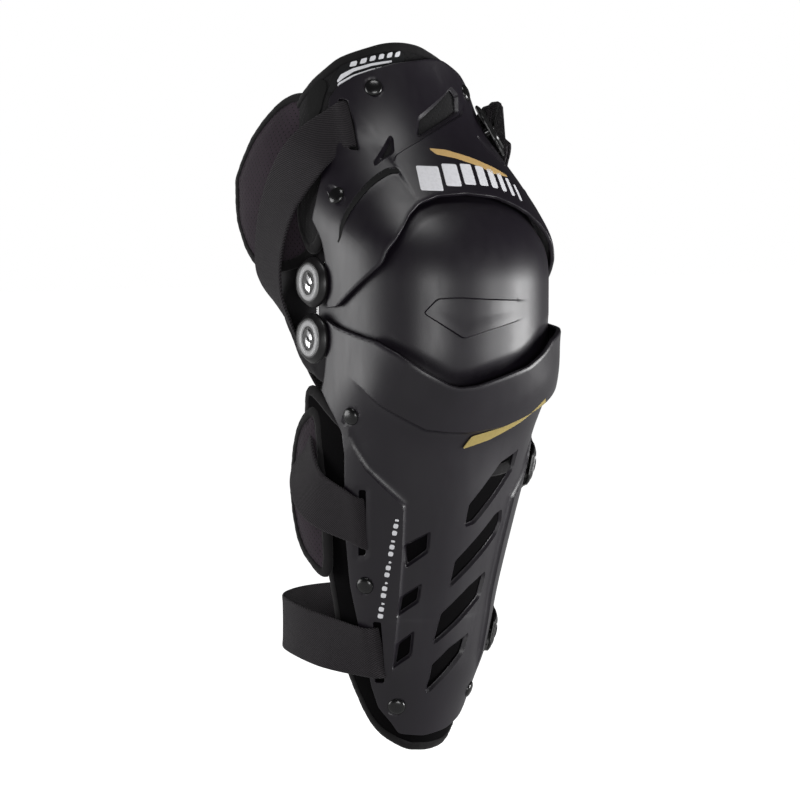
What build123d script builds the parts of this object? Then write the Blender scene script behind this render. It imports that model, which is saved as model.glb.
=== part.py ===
"""Dual-pivot knee and shin guard for off-road motorcycling, left-hand version.

Frame: millimetres, +Z up along the leg, -Y forward over the kneecap, X along the hinge axes.
The origin is the knee centre, midway between the upper and the lower hinge axis.
The guard has three rigid groups: a thigh group that turns on the upper axis, a knee group
with the cup and the link plates, and a shin group that turns on the lower axis.
Three keyhole clips hook the free ends of the elastic straps onto posts on the right flank.
"""
from build123d import *
from math import cos, pi, radians, sin, sqrt
import os

# ---------------------------------------------------------------- driving dimensions
PIVOT_Z = 19.0            # each hinge axis lies this far above or below the origin
SHELL_WALL = 3.2          # moulded shells
CUP_WALL = 3.0
RUN_GAP = 0.6             # free space between a shell and what slides or lies under it
LINER_WALL = 7.0          # foam and lining under the shells
EAR_RADIUS = 18.0         # round ends of the shells at the hinges
SECTION_POINTS = 32       # points on each closed section curve

CUP_HALF_WIDTH = 79.0
CUP_DEPTH = 94.0          # from the hinge plane to the front of the cup
CUP_RISE = 75.0           # above the upper axis, where the cup slips under the thigh shell
CUP_DROP = 94.0           # below the lower axis, concentric with the shin shell's collar
CUP_POWER = 2.5

PIN_RADIUS = 4.0
PIN_HEAD_RADIUS = 7.0
BUSH_RADIUS = 6.0
BUSH_LENGTH = 4.4
PIN_RUNNING_GAP = 0.05
WASHER_RADIUS = 9.0
WASHER_WALL = 0.8
PLATE_X = 73.2            # inner face of the link plate
PLATE_WALL = 2.0
PLATE_RADIUS = 14.0
EAR_FACE_X = 84.9         # plane on the shells' ears where the caps and pin heads sit
CAP_RADIUS = 17.6
CAP_HEIGHT = 5.4
BADGE_RADIUS = 12.4
BADGE_HEIGHT = 0.9
RIVET_RADIUS = 6.0
RIVET_SHANK_RADIUS = 2.5
RIVET_SEAT = 1.2          # depth of the round seat under a rivet head
RIVET_DOME = 1.9          # height of a rivet head above the shell

FLAP_WALL = 5.0           # perforated side flaps
KNEE_PAD_WALL = 8.0
CUSHION_SIZE = (9, 44, 92)
CUSHION_CENTRE = (67, 4)  # x and y of the left and right hinge cushions' centres, mirrored in x
STRAP_WIDTH = 38.0
STRAP_WALL = 2.2
CLIP_WALL = 2.4
KEYHOLE_LENGTH = 8.0      # from a keyhole's narrow end, where the post sits, to its wide end
POST_NECK_RADIUS = 3.0
POST_HEAD_RADIUS = 5.4
POST_HEIGHT = 7.0         # top of a post above its shell
CLIP_LIFT = 2.2           # gap between a clip and its shell
CLIP_LENGTH = 44.0
CLIP_WIDTH = 40.0

# Body forms as rows of (z, half width, depth, centre y, power). A section is the closed curve
# |x / half width| ** power + |(y - centre) / depth| ** power = 1.
THIGH_FORM = [
    (-20, 83.6, 96, 0, 2.6), (20, 83.8, 97, 1, 2.6), (46, 84.8, 97, 6, 2.6), (66, 86, 97, 20, 2.4),
    (86, 83, 88, 29, 2.2), (122, 71, 73, 47, 2.1), (154, 65, 66, 56, 2.0), (192, 62, 63, 62, 2.0)]
SHIN_FORM = [
    (30, 83.6, 99, 0, 2.6), (0, 83.8, 99, 0, 2.6), (-45, 84.6, 104, 6, 2.5), (-90, 84, 90, 13, 2.2),
    (-130, 80, 83, 18, 2.1), (-192, 69, 71, 23, 2.05), (-245, 58, 58, 21, 2.0),
    (-278, 46, 46, 20, 2.0), (-312, 35, 37, 22, 2.0)]

# ---------------------------------------------------------------- outlines
# Side outlines are (y, z) and front outlines are (x, z).
THIGH_REAR = [(9, 190), (9, 166), (19, 153), (23, 144), (20, 135), (1, 88), (0, 73), (3, 60), (13, 43)]
THIGH_ARCH_SIDE = [(-24, 4), (-54, 26), (-74, 43)]
THIGH_TOP = [(-64, 142), (-53, 153), (-45, 160), (-23, 168), (6, 172), (18, 171), (38, 162), (54, 148), (64, 134)]
THIGH_ARCH = [(-69, 42), (-63, 51), (-50, 67), (-41, 74), (-26, 79), (-4, 80.5), (20, 78), (34, 73), (46, 67),
              (58, 57), (66, 46), (69, 42)]
SHIN_REAR = [(5, -36), (3, -42), (-8, -55), (-20, -71), (-25, -82), (-25, -97), (-14, -152), (-9, -190),
             (-7, -262), (-6, -279), (-11, -294), (-17, -300)]
COLLAR_SIDE_LEFT = [(-21, -10), (-45, -15.5), (-60, -19), (-74, -26)]
COLLAR_SIDE_RIGHT = [(-21, -10), (-45, -12), (-60, -13), (-78, -15)]
COLLAR = [(-66, -26), (-52, -38), (-44, -43), (-37, -47), (-30, -49), (-18, -48), (0, -43), (22, -36.5),
          (37, -28), (47, -20), (60, -15)]
SHIN_TOE = [(-60, -285), (-40, -291), (-24, -298), (-8, -299), (10, -296), (28, -290), (46, -280), (60, -268)]

THIGH_VENTS = [
    [(-13, 132), (23, 154), (29, 148), (25.5, 136), (18.5, 133), (-17.6, 118), (-18.6, 120)],
    [(-36.4, 120), (-34.6, 118), (-38.4, 108), (-54.5, 97), (-54.3, 100), (-47.7, 107)]]
SHIN_SMALL_VENTS = [
    [(-42, -160), (-26, -150), (-24.5, -165), (-38, -177)],
    [(-38.5, -197), (-26, -187), (-26, -201), (-39, -212)],
    [(-37, -231), (-27, -221), (-26.5, -240), (-37, -250)]]
SHIN_SLASH_VENTS = [
    [(39, -98), (41, -96), (39, -111), (7, -147), (-1.6, -149), (-1, -133), (23, -104)],
    [(34.5, -139), (37, -149), (33, -157.5), (-4.5, -191), (-6.4, -193), (-5, -173), (6, -162), (26, -142)],
    [(26, -183), (28, -186), (25, -202), (-12, -232), (-14, -231), (-12, -218), (-10.5, -210), (11, -192)],
    [(17, -226), (14, -241), (-11.5, -269), (-14, -265), (-13, -257), (-13, -247), (0, -235)]]

# Rivet places as (x, z); depth and facing come from the form.
THIGH_RIVETS = [(-37, 152), (42, 150), (-78, 78), (78, 78)]
SHIN_RIVETS = [(-78.5, -70.5), (-57, -189.5), (-29, -278), (33, -272.6)]

# Strap slots as (x, z, tilt, length) and clip posts as (x, z).
THIGH_SLOT = (-53, 126, 5, 40)
CALF_SLOT = (-64, -146, -8, 42)
ANKLE_SLOT = (-44, -238, -8, 42)
THIGH_POST = (57, 122)
CALF_POST = (74, -112)
ANKLE_POST = (56, -233)
SLOT_WIDTH = 6.0

# Strap centre lines, from the slot on the left to the clip on the right.
THIGH_STRAP = [(-63, -8, 124), (-82, 14, 106), (-93, 32, 79), (-95, 41, 46), (-90, 48, 14), (-66, 66, -19),
               (-34, 88, -44), (4, 98, -64), (44, 92, -84), (76, 68, -98), (88, 44, -106)]
CALF_STRAP = [(-76, -26, -142), (-87, 2, -127), (-88, 24, -105), (-80, 46, -80), (-54, 64, -54), (-22, 74, -28),
              (12, 80, 4), (50, 86, 38), (82, 80, 66), (96, 60, 88), (90, 40, 108)]
ANKLE_STRAP = [(-58, -10, -237), (-70, 16, -232), (-76, 46, -227), (-66, 76, -226), (-38, 96, -226), (0, 103, -227),
               (38, 96, -228), (66, 76, -229), (76, 50, -231), (75, 36, -232)]

# Flap sheets as rows of (z, x, y, x, y, x, y) along the outer face, front to rear, and their (y, z) edges.
THIGH_FLAP = [(24, -84, 14, -85, 50, -82, 108), (60, -87, 14, -89, 60, -87, 112), (90, -86, 25, -89, 65, -88, 112),
              (120, -76, 47, -81, 75, -80, 108), (152, -68, 62, -71, 78, -71, 98)]
THIGH_FLAP_EDGE_LEFT = [(62, 144), (74, 142), (90, 122), (100, 98), (103, 76), (100, 56), (90, 38), (72, 28),
                        (40, 30), (20, 42), (17, 62), (28, 88), (48, 118)]
THIGH_FLAP_EDGE_RIGHT = [(60, 138), (66, 130), (68, 110), (66, 84), (60, 60), (46, 44), (26, 40), (18, 54),
                         (20, 74), (32, 96), (48, 120)]
CALF_FLAP = [(-190, -75, 10, -76, 25, -74, 45), (-130, -80, 12, -81, 28, -79, 45), (-70, -82, 8, -82, 24, -80, 45)]
CALF_FLAP_EDGE = [(14, -78), (27, -84), (36, -106), (38, -134), (31, -158), (21, -172), (14, -174), (14, -130)]


def spow(value, power):
    """Power of a signed number that keeps its sign."""
    return abs(value) ** power * (1 if value >= 0 else -1)


def form_at(form, z):
    """Half width, depth, centre and power of a form at height z, by smooth interpolation."""
    rows = sorted(form)
    z = min(max(z, rows[0][0]), rows[-1][0])
    low = max(i for i in range(len(rows) - 1) if rows[i][0] <= z or i == 0)
    before, start, end, after = (rows[max(low - 1, 0)], rows[low], rows[low + 1], rows[min(low + 2, len(rows) - 1)])
    span = end[0] - start[0]
    s = (z - start[0]) / span
    values = []
    for k in range(1, 5):
        slope_in = (end[k] - before[k]) / (end[0] - before[0]) * span
        slope_out = (after[k] - start[k]) / (after[0] - start[0]) * span
        values.append((2 * s ** 3 - 3 * s ** 2 + 1) * start[k] + (s ** 3 - 2 * s ** 2 + s) * slope_in
                      + (3 * s ** 2 - 2 * s ** 3) * end[k] + (s ** 3 - s ** 2) * slope_out)
    return values


def section_face(points):
    """Plane face inside a smooth closed curve."""
    return Face(Wire([Spline(*points, periodic=True)]))


def form_section(form, z, inset):
    half_width, depth, centre, power = form_at(form, z)
    points = []
    for i in range(SECTION_POINTS):
        turn = 2 * pi * (i + 0.5) / SECTION_POINTS
        x = (half_width - inset) * spow(sin(turn), 2 / power)
        y = centre - (depth - inset) * spow(cos(turn), 2 / power)
        points.append((x, y, z))
    return section_face(points)


def form_solid(form, inset, low, high, steps):
    """Solid of a body form between two heights, its surface moved inwards by inset."""
    heights = [low + (high - low) * i / steps for i in range(steps + 1)]
    return loft([form_section(form, z, inset) for z in heights])


def cup_section(z, inset):
    """Section of the cup: an ellipsoid-like dome over each axis, straight between the axes."""
    reach = CUP_RISE if z > 0 else CUP_DROP
    rise = max(abs(z) - PIVOT_Z, 0) / (reach - inset)
    half_width = (CUP_HALF_WIDTH - inset) * (1 - rise ** CUP_POWER) ** (1 / CUP_POWER)
    depth = (CUP_DEPTH - inset) * sqrt(1 - rise ** 2)
    points = []
    for i in range(SECTION_POINTS):
        turn = 2 * pi * (i + 0.5) / SECTION_POINTS
        x = half_width * spow(sin(turn), 2 / CUP_POWER)
        y = -depth * spow(cos(turn), 2 / CUP_POWER)
        points.append((x, y, z))
    return section_face(points)


def cup_solid(inset, low, high, steps):
    heights = [low + (high - low) * i / steps for i in range(steps + 1)]
    return loft([cup_section(z, inset) for z in heights])


def side_prism(outline, x_low, x_high):
    """Prism along X over an outline of (y, z) points."""
    plane = Plane(origin=(x_low, 0, 0), x_dir=(0, 1, 0), z_dir=(1, 0, 0))
    return extrude(plane * make_face(Polyline(*outline, close=True)), amount=x_high - x_low)


def front_prism(outline, y_front, y_back):
    """Prism along Y over an outline of (x, z) points."""
    plane = Plane(origin=(0, y_back, 0), x_dir=(1, 0, 0), z_dir=(0, -1, 0))
    return extrude(plane * make_face(Polyline(*outline, close=True)), amount=y_back - y_front)


def x_cylinder(radius, x_from, x_to, z, y=0.0):
    """Cylinder along X between two planes."""
    low, high = min(x_from, x_to), max(x_from, x_to)
    return Pos((low + high) / 2, y, z) * Rot(0, 90, 0) * Cylinder(radius, high - low)


def arc_points(centre_z, radius, start, end, count):
    """Points (y, z) on an ear's round end; angles in degrees from +Y towards +Z."""
    turns = [radians(start + (end - start) * i / (count - 1)) for i in range(count)]
    return [(radius * cos(turn), centre_z + radius * sin(turn)) for turn in turns]


def form_point(form, x, z, inset):
    """Point on the front of a form at a given x and z."""
    half_width, depth, centre, power = form_at(form, z)
    share = min(abs(x) / (half_width - inset), 1.0)
    return Vector(x, centre - (depth - inset) * (1 - share ** power) ** (1 / power), z)


def form_level(form, point):
    """One on the form's surface, more outside it and less inside it."""
    half_width, depth, centre, power = form_at(form, point.Z)
    return abs(point.X / half_width) ** power + abs((point.Y - centre) / depth) ** power


def surface_plane(form, x, z, tilt=0.0):
    """Plane on the front of a form: its normal points outwards and its x axis to the wearer's left."""
    point = form_point(form, x, z, 0)
    steps = (Vector(0.5, 0, 0), Vector(0, 0.5, 0), Vector(0, 0, 0.5))
    normal = Vector(*[form_level(form, point + step) - form_level(form, point - step) for step in steps])
    across = Vector(0, 0, 1).cross(normal).normalized()
    plane = Plane(origin=point, x_dir=across, z_dir=normal.normalized())
    return plane.rotated((0, 0, tilt))


def slot_cutter(form, slot):
    """Straight slot through a shell for a strap; slot is (x, z, tilt, length)."""
    x, z, tilt, length = slot
    return extrude(surface_plane(form, x, z, tilt) * RectangleRounded(SLOT_WIDTH, length, 2.5), amount=12, both=True)


def rivet(form, place):
    """Domed rivet: its head stands in a round seat in the shell and its shank passes through."""
    ball = RIVET_RADIUS * 1.4
    dome = Pos(0, 0, RIVET_DOME - ball) * Sphere(ball) & Pos(0, 0, 4 - RIVET_SEAT) * Cylinder(RIVET_RADIUS, 8)
    shank_length = SHELL_WALL - RIVET_SEAT - 0.4
    shank = Pos(0, 0, -RIVET_SEAT - shank_length / 2) * Cylinder(RIVET_SHANK_RADIUS, shank_length)
    return surface_plane(form, *place).location * (dome + shank)


def rivet_cutter(form, place):
    """Round seat and shank hole for one rivet."""
    seat = Pos(0, 0, 6 - RIVET_SEAT) * Cylinder(RIVET_RADIUS + 0.1, 12)
    return surface_plane(form, *place).location * (seat + Cylinder(RIVET_SHANK_RADIUS, 16))


def post_cutter(form, place):
    """Hole in a shell for the base of a clip post."""
    return surface_plane(form, *place).location * Cylinder(POST_NECK_RADIUS, 16)


def clip_post(form, place):
    """Headed post that stands on a shell's right flank."""
    neck_low, head_low = 0.4 - SHELL_WALL, POST_HEIGHT - 1.8
    neck = Pos(0, 0, (neck_low + head_low) / 2) * Cylinder(POST_NECK_RADIUS, head_low - neck_low)
    head = Pos(0, 0, head_low + 0.9) * Cylinder(POST_HEAD_RADIUS, 1.8)
    return surface_plane(form, *place).location * (neck + head)


def keyhole_clip(form, place, tilt):
    """Flat clip with a keyhole over its post and a bar for the strap at its rear end."""
    blank = Pos(CLIP_LENGTH / 2 - 10, 0, 0) * RectangleRounded(CLIP_LENGTH, CLIP_WIDTH, 6)
    keyhole = Pos(KEYHOLE_LENGTH / 2, 0, 0) * Rectangle(KEYHOLE_LENGTH, 2 * POST_NECK_RADIUS + 0.4)
    keyhole += Circle(POST_NECK_RADIUS + 0.2) + Pos(KEYHOLE_LENGTH, 0, 0) * Circle(POST_HEAD_RADIUS + 0.6)
    bar_slot = Pos(CLIP_LENGTH - 17, 0, 0) * RectangleRounded(4.5, STRAP_WIDTH + 2 - 6, 2)
    plate = Pos(0, 0, CLIP_LIFT) * extrude(blank - keyhole - bar_slot, amount=CLIP_WALL)
    return surface_plane(form, *place, tilt).location * plate


def band(path, centre_y, width, wall):
    """Strap of even width along points (x, y, z), lying flat towards a line up the leg at centre_y."""
    points = [Vector(*p) for p in path]
    sections = []
    for i, point in enumerate(points):
        along = points[min(i + 1, len(points) - 1)] - points[max(i - 1, 0)]
        out = Vector(point.X, point.Y - centre_y, 0)
        across = along.cross(out).normalized()
        flat = across.cross(along).normalized()
        plane = Plane(origin=point, x_dir=across, z_dir=along.normalized())
        sections.append(plane * Rectangle(width, wall))
    return loft(sections)


def thin_strip(row, wall):
    """Plan section of a flap at one height: row is (z, x, y, x, y, x, y) along its outer face."""
    z = row[0]
    outer = [(row[k], row[k + 1], z) for k in (1, 3, 5)]
    inner = [(x + wall, y, z) for x, y, z in outer]
    wire = Wire([Spline(*outer), Line(outer[2], inner[2]), Spline(*inner[::-1]), Line(inner[0], outer[0])])
    return Face(wire)


def flap(rows, outline, wall):
    """Soft side flap: a curved sheet cut to a rounded outline of (y, z) points."""
    sheet = loft([thin_strip(row, wall) for row in rows])
    plane = Plane(origin=(-120, 0, 0), x_dir=(0, 1, 0), z_dir=(1, 0, 0))
    cutter = extrude(plane * make_face(Spline(*outline, periodic=True)), amount=80)
    return sheet & cutter


def keep_left_right(solid, left_outline, right_outline):
    """Trim a shell with one side outline on each half."""
    return solid & (side_prism(left_outline, -120, 0) + side_prism(right_outline, 0, 120))


def open_ears(shell, z):
    """Bore both ears of a shell for their bushes."""
    return shell - [x_cylinder(BUSH_RADIUS, side * 60, side * 100, z) for side in (-1, 1)]


# ---------------------------------------------------------------- thigh group
def thigh_shell():
    """Upper shell: arched over the cup, eared at the upper axis, with vents and a strap slot."""
    wall = form_solid(THIGH_FORM, 0, -2, 176, 10) - form_solid(THIGH_FORM, SHELL_WALL, -4, 178, 10)
    ear = arc_points(PIVOT_Z, EAR_RADIUS, 30, -90, 9)
    outline = THIGH_REAR + ear + THIGH_ARCH_SIDE + [(-140, 43), (-140, 190)]
    shell = wall & side_prism(outline, -120, 120)
    shell -= front_prism(THIGH_ARCH + [(69, -40), (-69, -40)], -140, -20)
    shell -= front_prism(THIGH_TOP + [(90, 134), (90, 210), (-90, 210), (-90, 142)], -140, 140)
    for outline in THIGH_VENTS:
        shell -= front_prism(outline, -140, 0)
    for place in THIGH_RIVETS:
        shell -= rivet_cutter(THIGH_FORM, place)
    shell -= slot_cutter(THIGH_FORM, THIGH_SLOT)
    shell -= post_cutter(THIGH_FORM, THIGH_POST)
    return open_ears(shell, PIVOT_Z)


def thigh_liner():
    """Padded lining of the thigh shell, standing proud of it at the top and at the rear."""
    outer = SHELL_WALL + RUN_GAP
    wall = form_solid(THIGH_FORM, outer, 50, 188, 9) - form_solid(THIGH_FORM, outer + LINER_WALL, 48, 190, 9)
    outline = [(60, 152), (44, 120), (21, 92), (9, 70), (8, 62), (-12, 72), (-44, 98),
               (-140, 98), (-140, 190), (66, 190)]
    top = [(x * 1.04, z + 8) for x, z in THIGH_TOP]
    above = front_prism(top + [(90, 142), (90, 220), (-90, 220), (-90, 150)], -140, 140)
    return (wall & side_prism(outline, -120, 120)) - above


def liner_label():
    """Blank sewn patch on the liner above the shell's top edge."""
    wall = form_solid(THIGH_FORM, 2.3, 140, 188, 4) - form_solid(THIGH_FORM, 3.3, 138, 190, 4)
    patch = [(-44, 162), (-38, 169), (-22, 175), (-10, 177), (-8, 172.5), (-22, 169.5), (-40, 165)]
    return wall & front_prism(patch, -140, 40)


# ---------------------------------------------------------------- shin group
def shin_shell():
    """Lower shell: collar under the cup, eared at the lower axis, with slash vents and strap slots."""
    wall = form_solid(SHIN_FORM, 0, -304, 2, 14) - form_solid(SHIN_FORM, SHELL_WALL, -308, 4, 14)
    ear = arc_points(-PIVOT_Z, EAR_RADIUS, 90, -55, 10)
    tail = [(-140, -302)]
    left = ear + SHIN_REAR + tail + [(-140, -26)] + COLLAR_SIDE_LEFT[::-1]
    right = ear + SHIN_REAR + tail + [(-140, -15)] + COLLAR_SIDE_RIGHT[::-1]
    shell = keep_left_right(wall, left, right)
    shell -= front_prism(COLLAR + [(60, 40), (-66, 40)], -140, -20)
    shell -= front_prism(SHIN_TOE + [(60, -330), (-60, -330)], -140, 60)
    for outline in SHIN_SMALL_VENTS + SHIN_SLASH_VENTS:
        shell -= front_prism(outline, -140, 0)
    for place in SHIN_RIVETS:
        shell -= rivet_cutter(SHIN_FORM, place)
    for slot in (CALF_SLOT, ANKLE_SLOT):
        shell -= slot_cutter(SHIN_FORM, slot)
    for place in (CALF_POST, ANKLE_POST):
        shell -= post_cutter(SHIN_FORM, place)
    return open_ears(shell, -PIVOT_Z)


def shin_liner():
    """Foam lining of the shin shell, standing proud of it behind and below."""
    outer = SHELL_WALL + RUN_GAP
    wall = form_solid(SHIN_FORM, outer, -310, -60, 12) - form_solid(SHIN_FORM, outer + LINER_WALL, -314, -58, 12)
    outline = [(-140, -110), (-60, -110), (-22, -88), (8, -74), (11, -110), (12, -150), (12, -200), (14, -250),
               (12, -280), (2, -300), (-12, -309), (-140, -309)]
    return wall & side_prism(outline, -120, 120)


# ---------------------------------------------------------------- knee group
def knee_cup():
    """Domed cup that carries both axes; its ears end just behind the pins."""
    dome = cup_solid(0, -86, 80, 12) - cup_solid(CUP_WALL, -88, 82, 12)
    upper = arc_points(PIVOT_Z, PLATE_RADIUS - 1, 120, -70, 8)
    lower = arc_points(-PIVOT_Z, PLATE_RADIUS - 1, 70, -120, 8)
    outline = [(-140, 80), (-44, 80), (-18, 42)] + upper + lower + [(-20, -44), (-66, -86), (-140, -86)]
    cup = dome & side_prism(outline, -120, 120)
    for z in (PIVOT_Z, -PIVOT_Z):
        cup -= x_cylinder(PIN_RADIUS, -90, 90, z)
    return cup


def knee_pad():
    """Foam pad inside the cup."""
    outer = CUP_WALL + RUN_GAP
    pad = cup_solid(outer, -68, 60, 8) - cup_solid(outer + KNEE_PAD_WALL, -70, 62, 8)
    return pad & Pos(0, -90, 0) * Box(128, 130, 200)


def link_plate(side):
    """Steel plate that ties the two pins of one side together."""
    plane = Plane(origin=(side * PLATE_X, 0, 0), x_dir=(0, 1, 0), z_dir=(side, 0, 0))
    plate = extrude(plane * Rot(0, 0, 90) * SlotCenterToCenter(2 * PIVOT_Z, 2 * PLATE_RADIUS), amount=PLATE_WALL)
    for z in (PIVOT_Z, -PIVOT_Z):
        plate -= x_cylinder(PIN_RADIUS, -90, 90, z)
    return plate


def pivot_pin(side, z):
    """Flanged pin: headed outside the shell's ear and peened inside the link plate."""
    shank = x_cylinder(PIN_RADIUS, side * (PLATE_X - 1.6), side * (EAR_FACE_X + 0.1), z)
    head = x_cylinder(PIN_HEAD_RADIUS, side * (EAR_FACE_X + 0.1), side * (EAR_FACE_X + 1.9), z)
    foot = x_cylinder(PIN_HEAD_RADIUS, side * (PLATE_X - 1.6), side * PLATE_X, z)
    return shank + head + foot


def thrust_washer(side, z):
    """Plain washer between the cup's ear and a shell's ear."""
    inner, outer = side * (CUP_HALF_WIDTH + 0.4), side * (CUP_HALF_WIDTH + 0.4 + WASHER_WALL)
    return x_cylinder(WASHER_RADIUS, inner, outer, z) - x_cylinder(PIN_RADIUS + 0.05, inner, outer, z)


def ear_bush(side, z):
    """Plain bush pressed into a shell's ear; it turns on the pin."""
    inner, outer = side * (EAR_FACE_X - BUSH_LENGTH), side * EAR_FACE_X
    return x_cylinder(BUSH_RADIUS, inner, outer, z) - x_cylinder(PIN_RADIUS + PIN_RUNNING_GAP, inner, outer, z)


def hinge_cap(side, z):
    """Rounded six-sided cap that snaps over the pin head and turns with the shell."""
    plane = Plane(origin=(side * EAR_FACE_X, 0, z), x_dir=(0, 1, 0), z_dir=(side, 0, 0))
    base = RegularPolygon(CAP_RADIUS, 6, rotation=30)
    base = fillet(base.vertices(), 5)
    body = extrude(plane * base, amount=CAP_HEIGHT, taper=14)
    pocket = x_cylinder(PIN_HEAD_RADIUS + 1.2, side * EAR_FACE_X, side * (EAR_FACE_X + 2.6), z)
    rear_flat = Pos(0, -60, z) * Box(220, 120 + 2 * (CAP_RADIUS - 2), 80)
    return (body - pocket) & rear_flat


def badge(side, z):
    """Ring badge on a cap's outer face."""
    face = EAR_FACE_X + CAP_HEIGHT
    return x_cylinder(BADGE_RADIUS, side * face, side * (face + BADGE_HEIGHT), z)


def hinge_cushion(side):
    """Soft pad between the leg and the inner ends of the pins."""
    pad = Box(*CUSHION_SIZE)
    pad = fillet(pad.edges().filter_by(Axis.X), 14)
    return Pos(side * CUSHION_CENTRE[0], CUSHION_CENTRE[1], 0) * pad


# ---------------------------------------------------------------- output
def write(name, shape):
    """Write one node; shape is a solid or a list of separate solids."""
    solids = [part for item in (shape if isinstance(shape, list) else [shape]) for part in item.solids()]
    node = solids[0] if len(solids) == 1 else Compound(children=solids)
    export_step(node, f"parts/{name}.step")
    print(f"{name}: {len(solids)} solids, {sum(s.volume for s in solids) / 1000:.2f} cm3")


def main():
    os.makedirs("parts", exist_ok=True)
    sides = {"left": -1, "right": 1}
    ends = {"upper": PIVOT_Z, "lower": -PIVOT_Z}

    write("knee_cup", knee_cup())
    write("knee_pad", knee_pad())
    write("pivot_pins", [pivot_pin(side, z) for side in (-1, 1) for z in ends.values()])
    write("thrust_washers", [thrust_washer(side, z) for side in (-1, 1) for z in ends.values()])
    for side_name, side in sides.items():
        write(f"link_plate_{side_name}", link_plate(side))
        write(f"hinge_cushion_{side_name}", hinge_cushion(side))
        for end_name, z in ends.items():
            write(f"{end_name}_cap_{side_name}", hinge_cap(side, z))
            write(f"{end_name}_badge_{side_name}", badge(side, z))
    for end_name, z in ends.items():
        write(f"{end_name}_bushes", [ear_bush(side, z) for side in (-1, 1)])

    write("thigh_shell", thigh_shell())
    write("thigh_liner", thigh_liner())
    write("liner_label", liner_label())
    write("thigh_rivets", [rivet(THIGH_FORM, place) for place in THIGH_RIVETS])
    write("thigh_post", clip_post(THIGH_FORM, THIGH_POST))
    write("thigh_clip", keyhole_clip(THIGH_FORM, THIGH_POST, 0))

    write("shin_shell", shin_shell())
    write("shin_liner", shin_liner())
    write("shin_rivets", [rivet(SHIN_FORM, place) for place in SHIN_RIVETS])
    write("calf_post", clip_post(SHIN_FORM, CALF_POST))
    write("calf_clip", keyhole_clip(SHIN_FORM, CALF_POST, 0))
    write("ankle_post", clip_post(SHIN_FORM, ANKLE_POST))
    write("ankle_clip", keyhole_clip(SHIN_FORM, ANKLE_POST, 0))

    calf_flap = flap(CALF_FLAP, CALF_FLAP_EDGE, FLAP_WALL)
    write("thigh_flap_left", flap(THIGH_FLAP, THIGH_FLAP_EDGE_LEFT, FLAP_WALL))
    write("thigh_flap_right", mirror(flap(THIGH_FLAP, THIGH_FLAP_EDGE_RIGHT, FLAP_WALL), Plane.YZ))
    write("calf_flap_left", calf_flap)
    write("calf_flap_right", mirror(calf_flap, Plane.YZ))
    write("thigh_strap", band(THIGH_STRAP, 20, STRAP_WIDTH, STRAP_WALL))
    write("calf_strap", band(CALF_STRAP, 20, STRAP_WIDTH, STRAP_WALL))
    write("ankle_strap", band(ANKLE_STRAP, 30, STRAP_WIDTH, STRAP_WALL))


main()
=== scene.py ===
from math import cos, pi, radians, sin, tau

import bpy
import numpy as np
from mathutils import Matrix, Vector, noise


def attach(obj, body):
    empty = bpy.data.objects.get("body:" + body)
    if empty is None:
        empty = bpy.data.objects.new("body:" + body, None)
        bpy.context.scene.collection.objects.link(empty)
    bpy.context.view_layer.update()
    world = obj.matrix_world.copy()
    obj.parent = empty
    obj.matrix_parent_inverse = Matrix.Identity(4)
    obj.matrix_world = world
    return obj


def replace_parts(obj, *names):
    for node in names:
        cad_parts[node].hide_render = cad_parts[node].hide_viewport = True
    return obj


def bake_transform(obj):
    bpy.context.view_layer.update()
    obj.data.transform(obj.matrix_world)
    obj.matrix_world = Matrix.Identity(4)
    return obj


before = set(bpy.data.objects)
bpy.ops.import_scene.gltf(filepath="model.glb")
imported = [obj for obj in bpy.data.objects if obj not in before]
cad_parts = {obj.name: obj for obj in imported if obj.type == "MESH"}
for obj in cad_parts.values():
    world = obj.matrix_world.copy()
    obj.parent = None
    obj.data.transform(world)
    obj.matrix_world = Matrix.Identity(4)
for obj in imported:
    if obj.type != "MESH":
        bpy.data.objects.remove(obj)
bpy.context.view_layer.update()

# Lengths in this script are millimetres in the shared frame, turned into metres when a mesh is made.
MM = 0.001
PIVOT_Z = 19.0            # height of each hinge axis above or below the origin
EAR_RADIUS = 18.0
EAR_FACE_X = 84.9         # plane of the shells' ears under the caps
SHELL_WALL = 3.0
EDGE_ROUND = 0.55         # rounding of a wall's rim
GRID = 1.3                # spacing of the shells' mesh
CHAMFER = 1.4             # width of the sloped border round a vent
VENT_DEPTH = 1.9          # how deep that border goes
STRAP_WIDTH = 38.0
STRAP_WALL = 1.9

# Body forms as rows of (z, half width, depth, centre y, power), as in the CAD model.
THIGH_FORM = [
    (-20, 83.6, 96, 0, 2.6), (20, 83.8, 97, 1, 2.6), (46, 84.8, 97, 6, 2.6), (66, 86, 97, 20, 2.4),
    (86, 83, 88, 29, 2.2), (122, 71, 73, 47, 2.1), (154, 65, 66, 56, 2.0), (192, 62, 63, 62, 2.0)]
SHIN_FORM = [
    (30, 83.6, 99, 0, 2.6), (0, 83.8, 99, 0, 2.6), (-45, 84.6, 104, 6, 2.5), (-90, 84, 90, 13, 2.2),
    (-130, 80, 83, 18, 2.1), (-192, 69, 71, 23, 2.05), (-245, 58, 58, 21, 2.0),
    (-278, 46, 46, 20, 2.0), (-312, 35, 37, 22, 2.0)]
CUP_HALF_WIDTH, CUP_DEPTH, CUP_POWER = 79.0, 94.0, 2.5
CUP_RISE, CUP_DROP = 75.0, 94.0


# ---------------------------------------------------------------- numbers
def smooth(value, low, high):
    """0 below low, 1 above high, with an even ramp between."""
    t = np.clip((value - low) / (high - low), 0, 1)
    return t * t * (3 - 2 * t)


def unit(vectors):
    return vectors / np.linalg.norm(vectors, axis=-1, keepdims=True)


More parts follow.
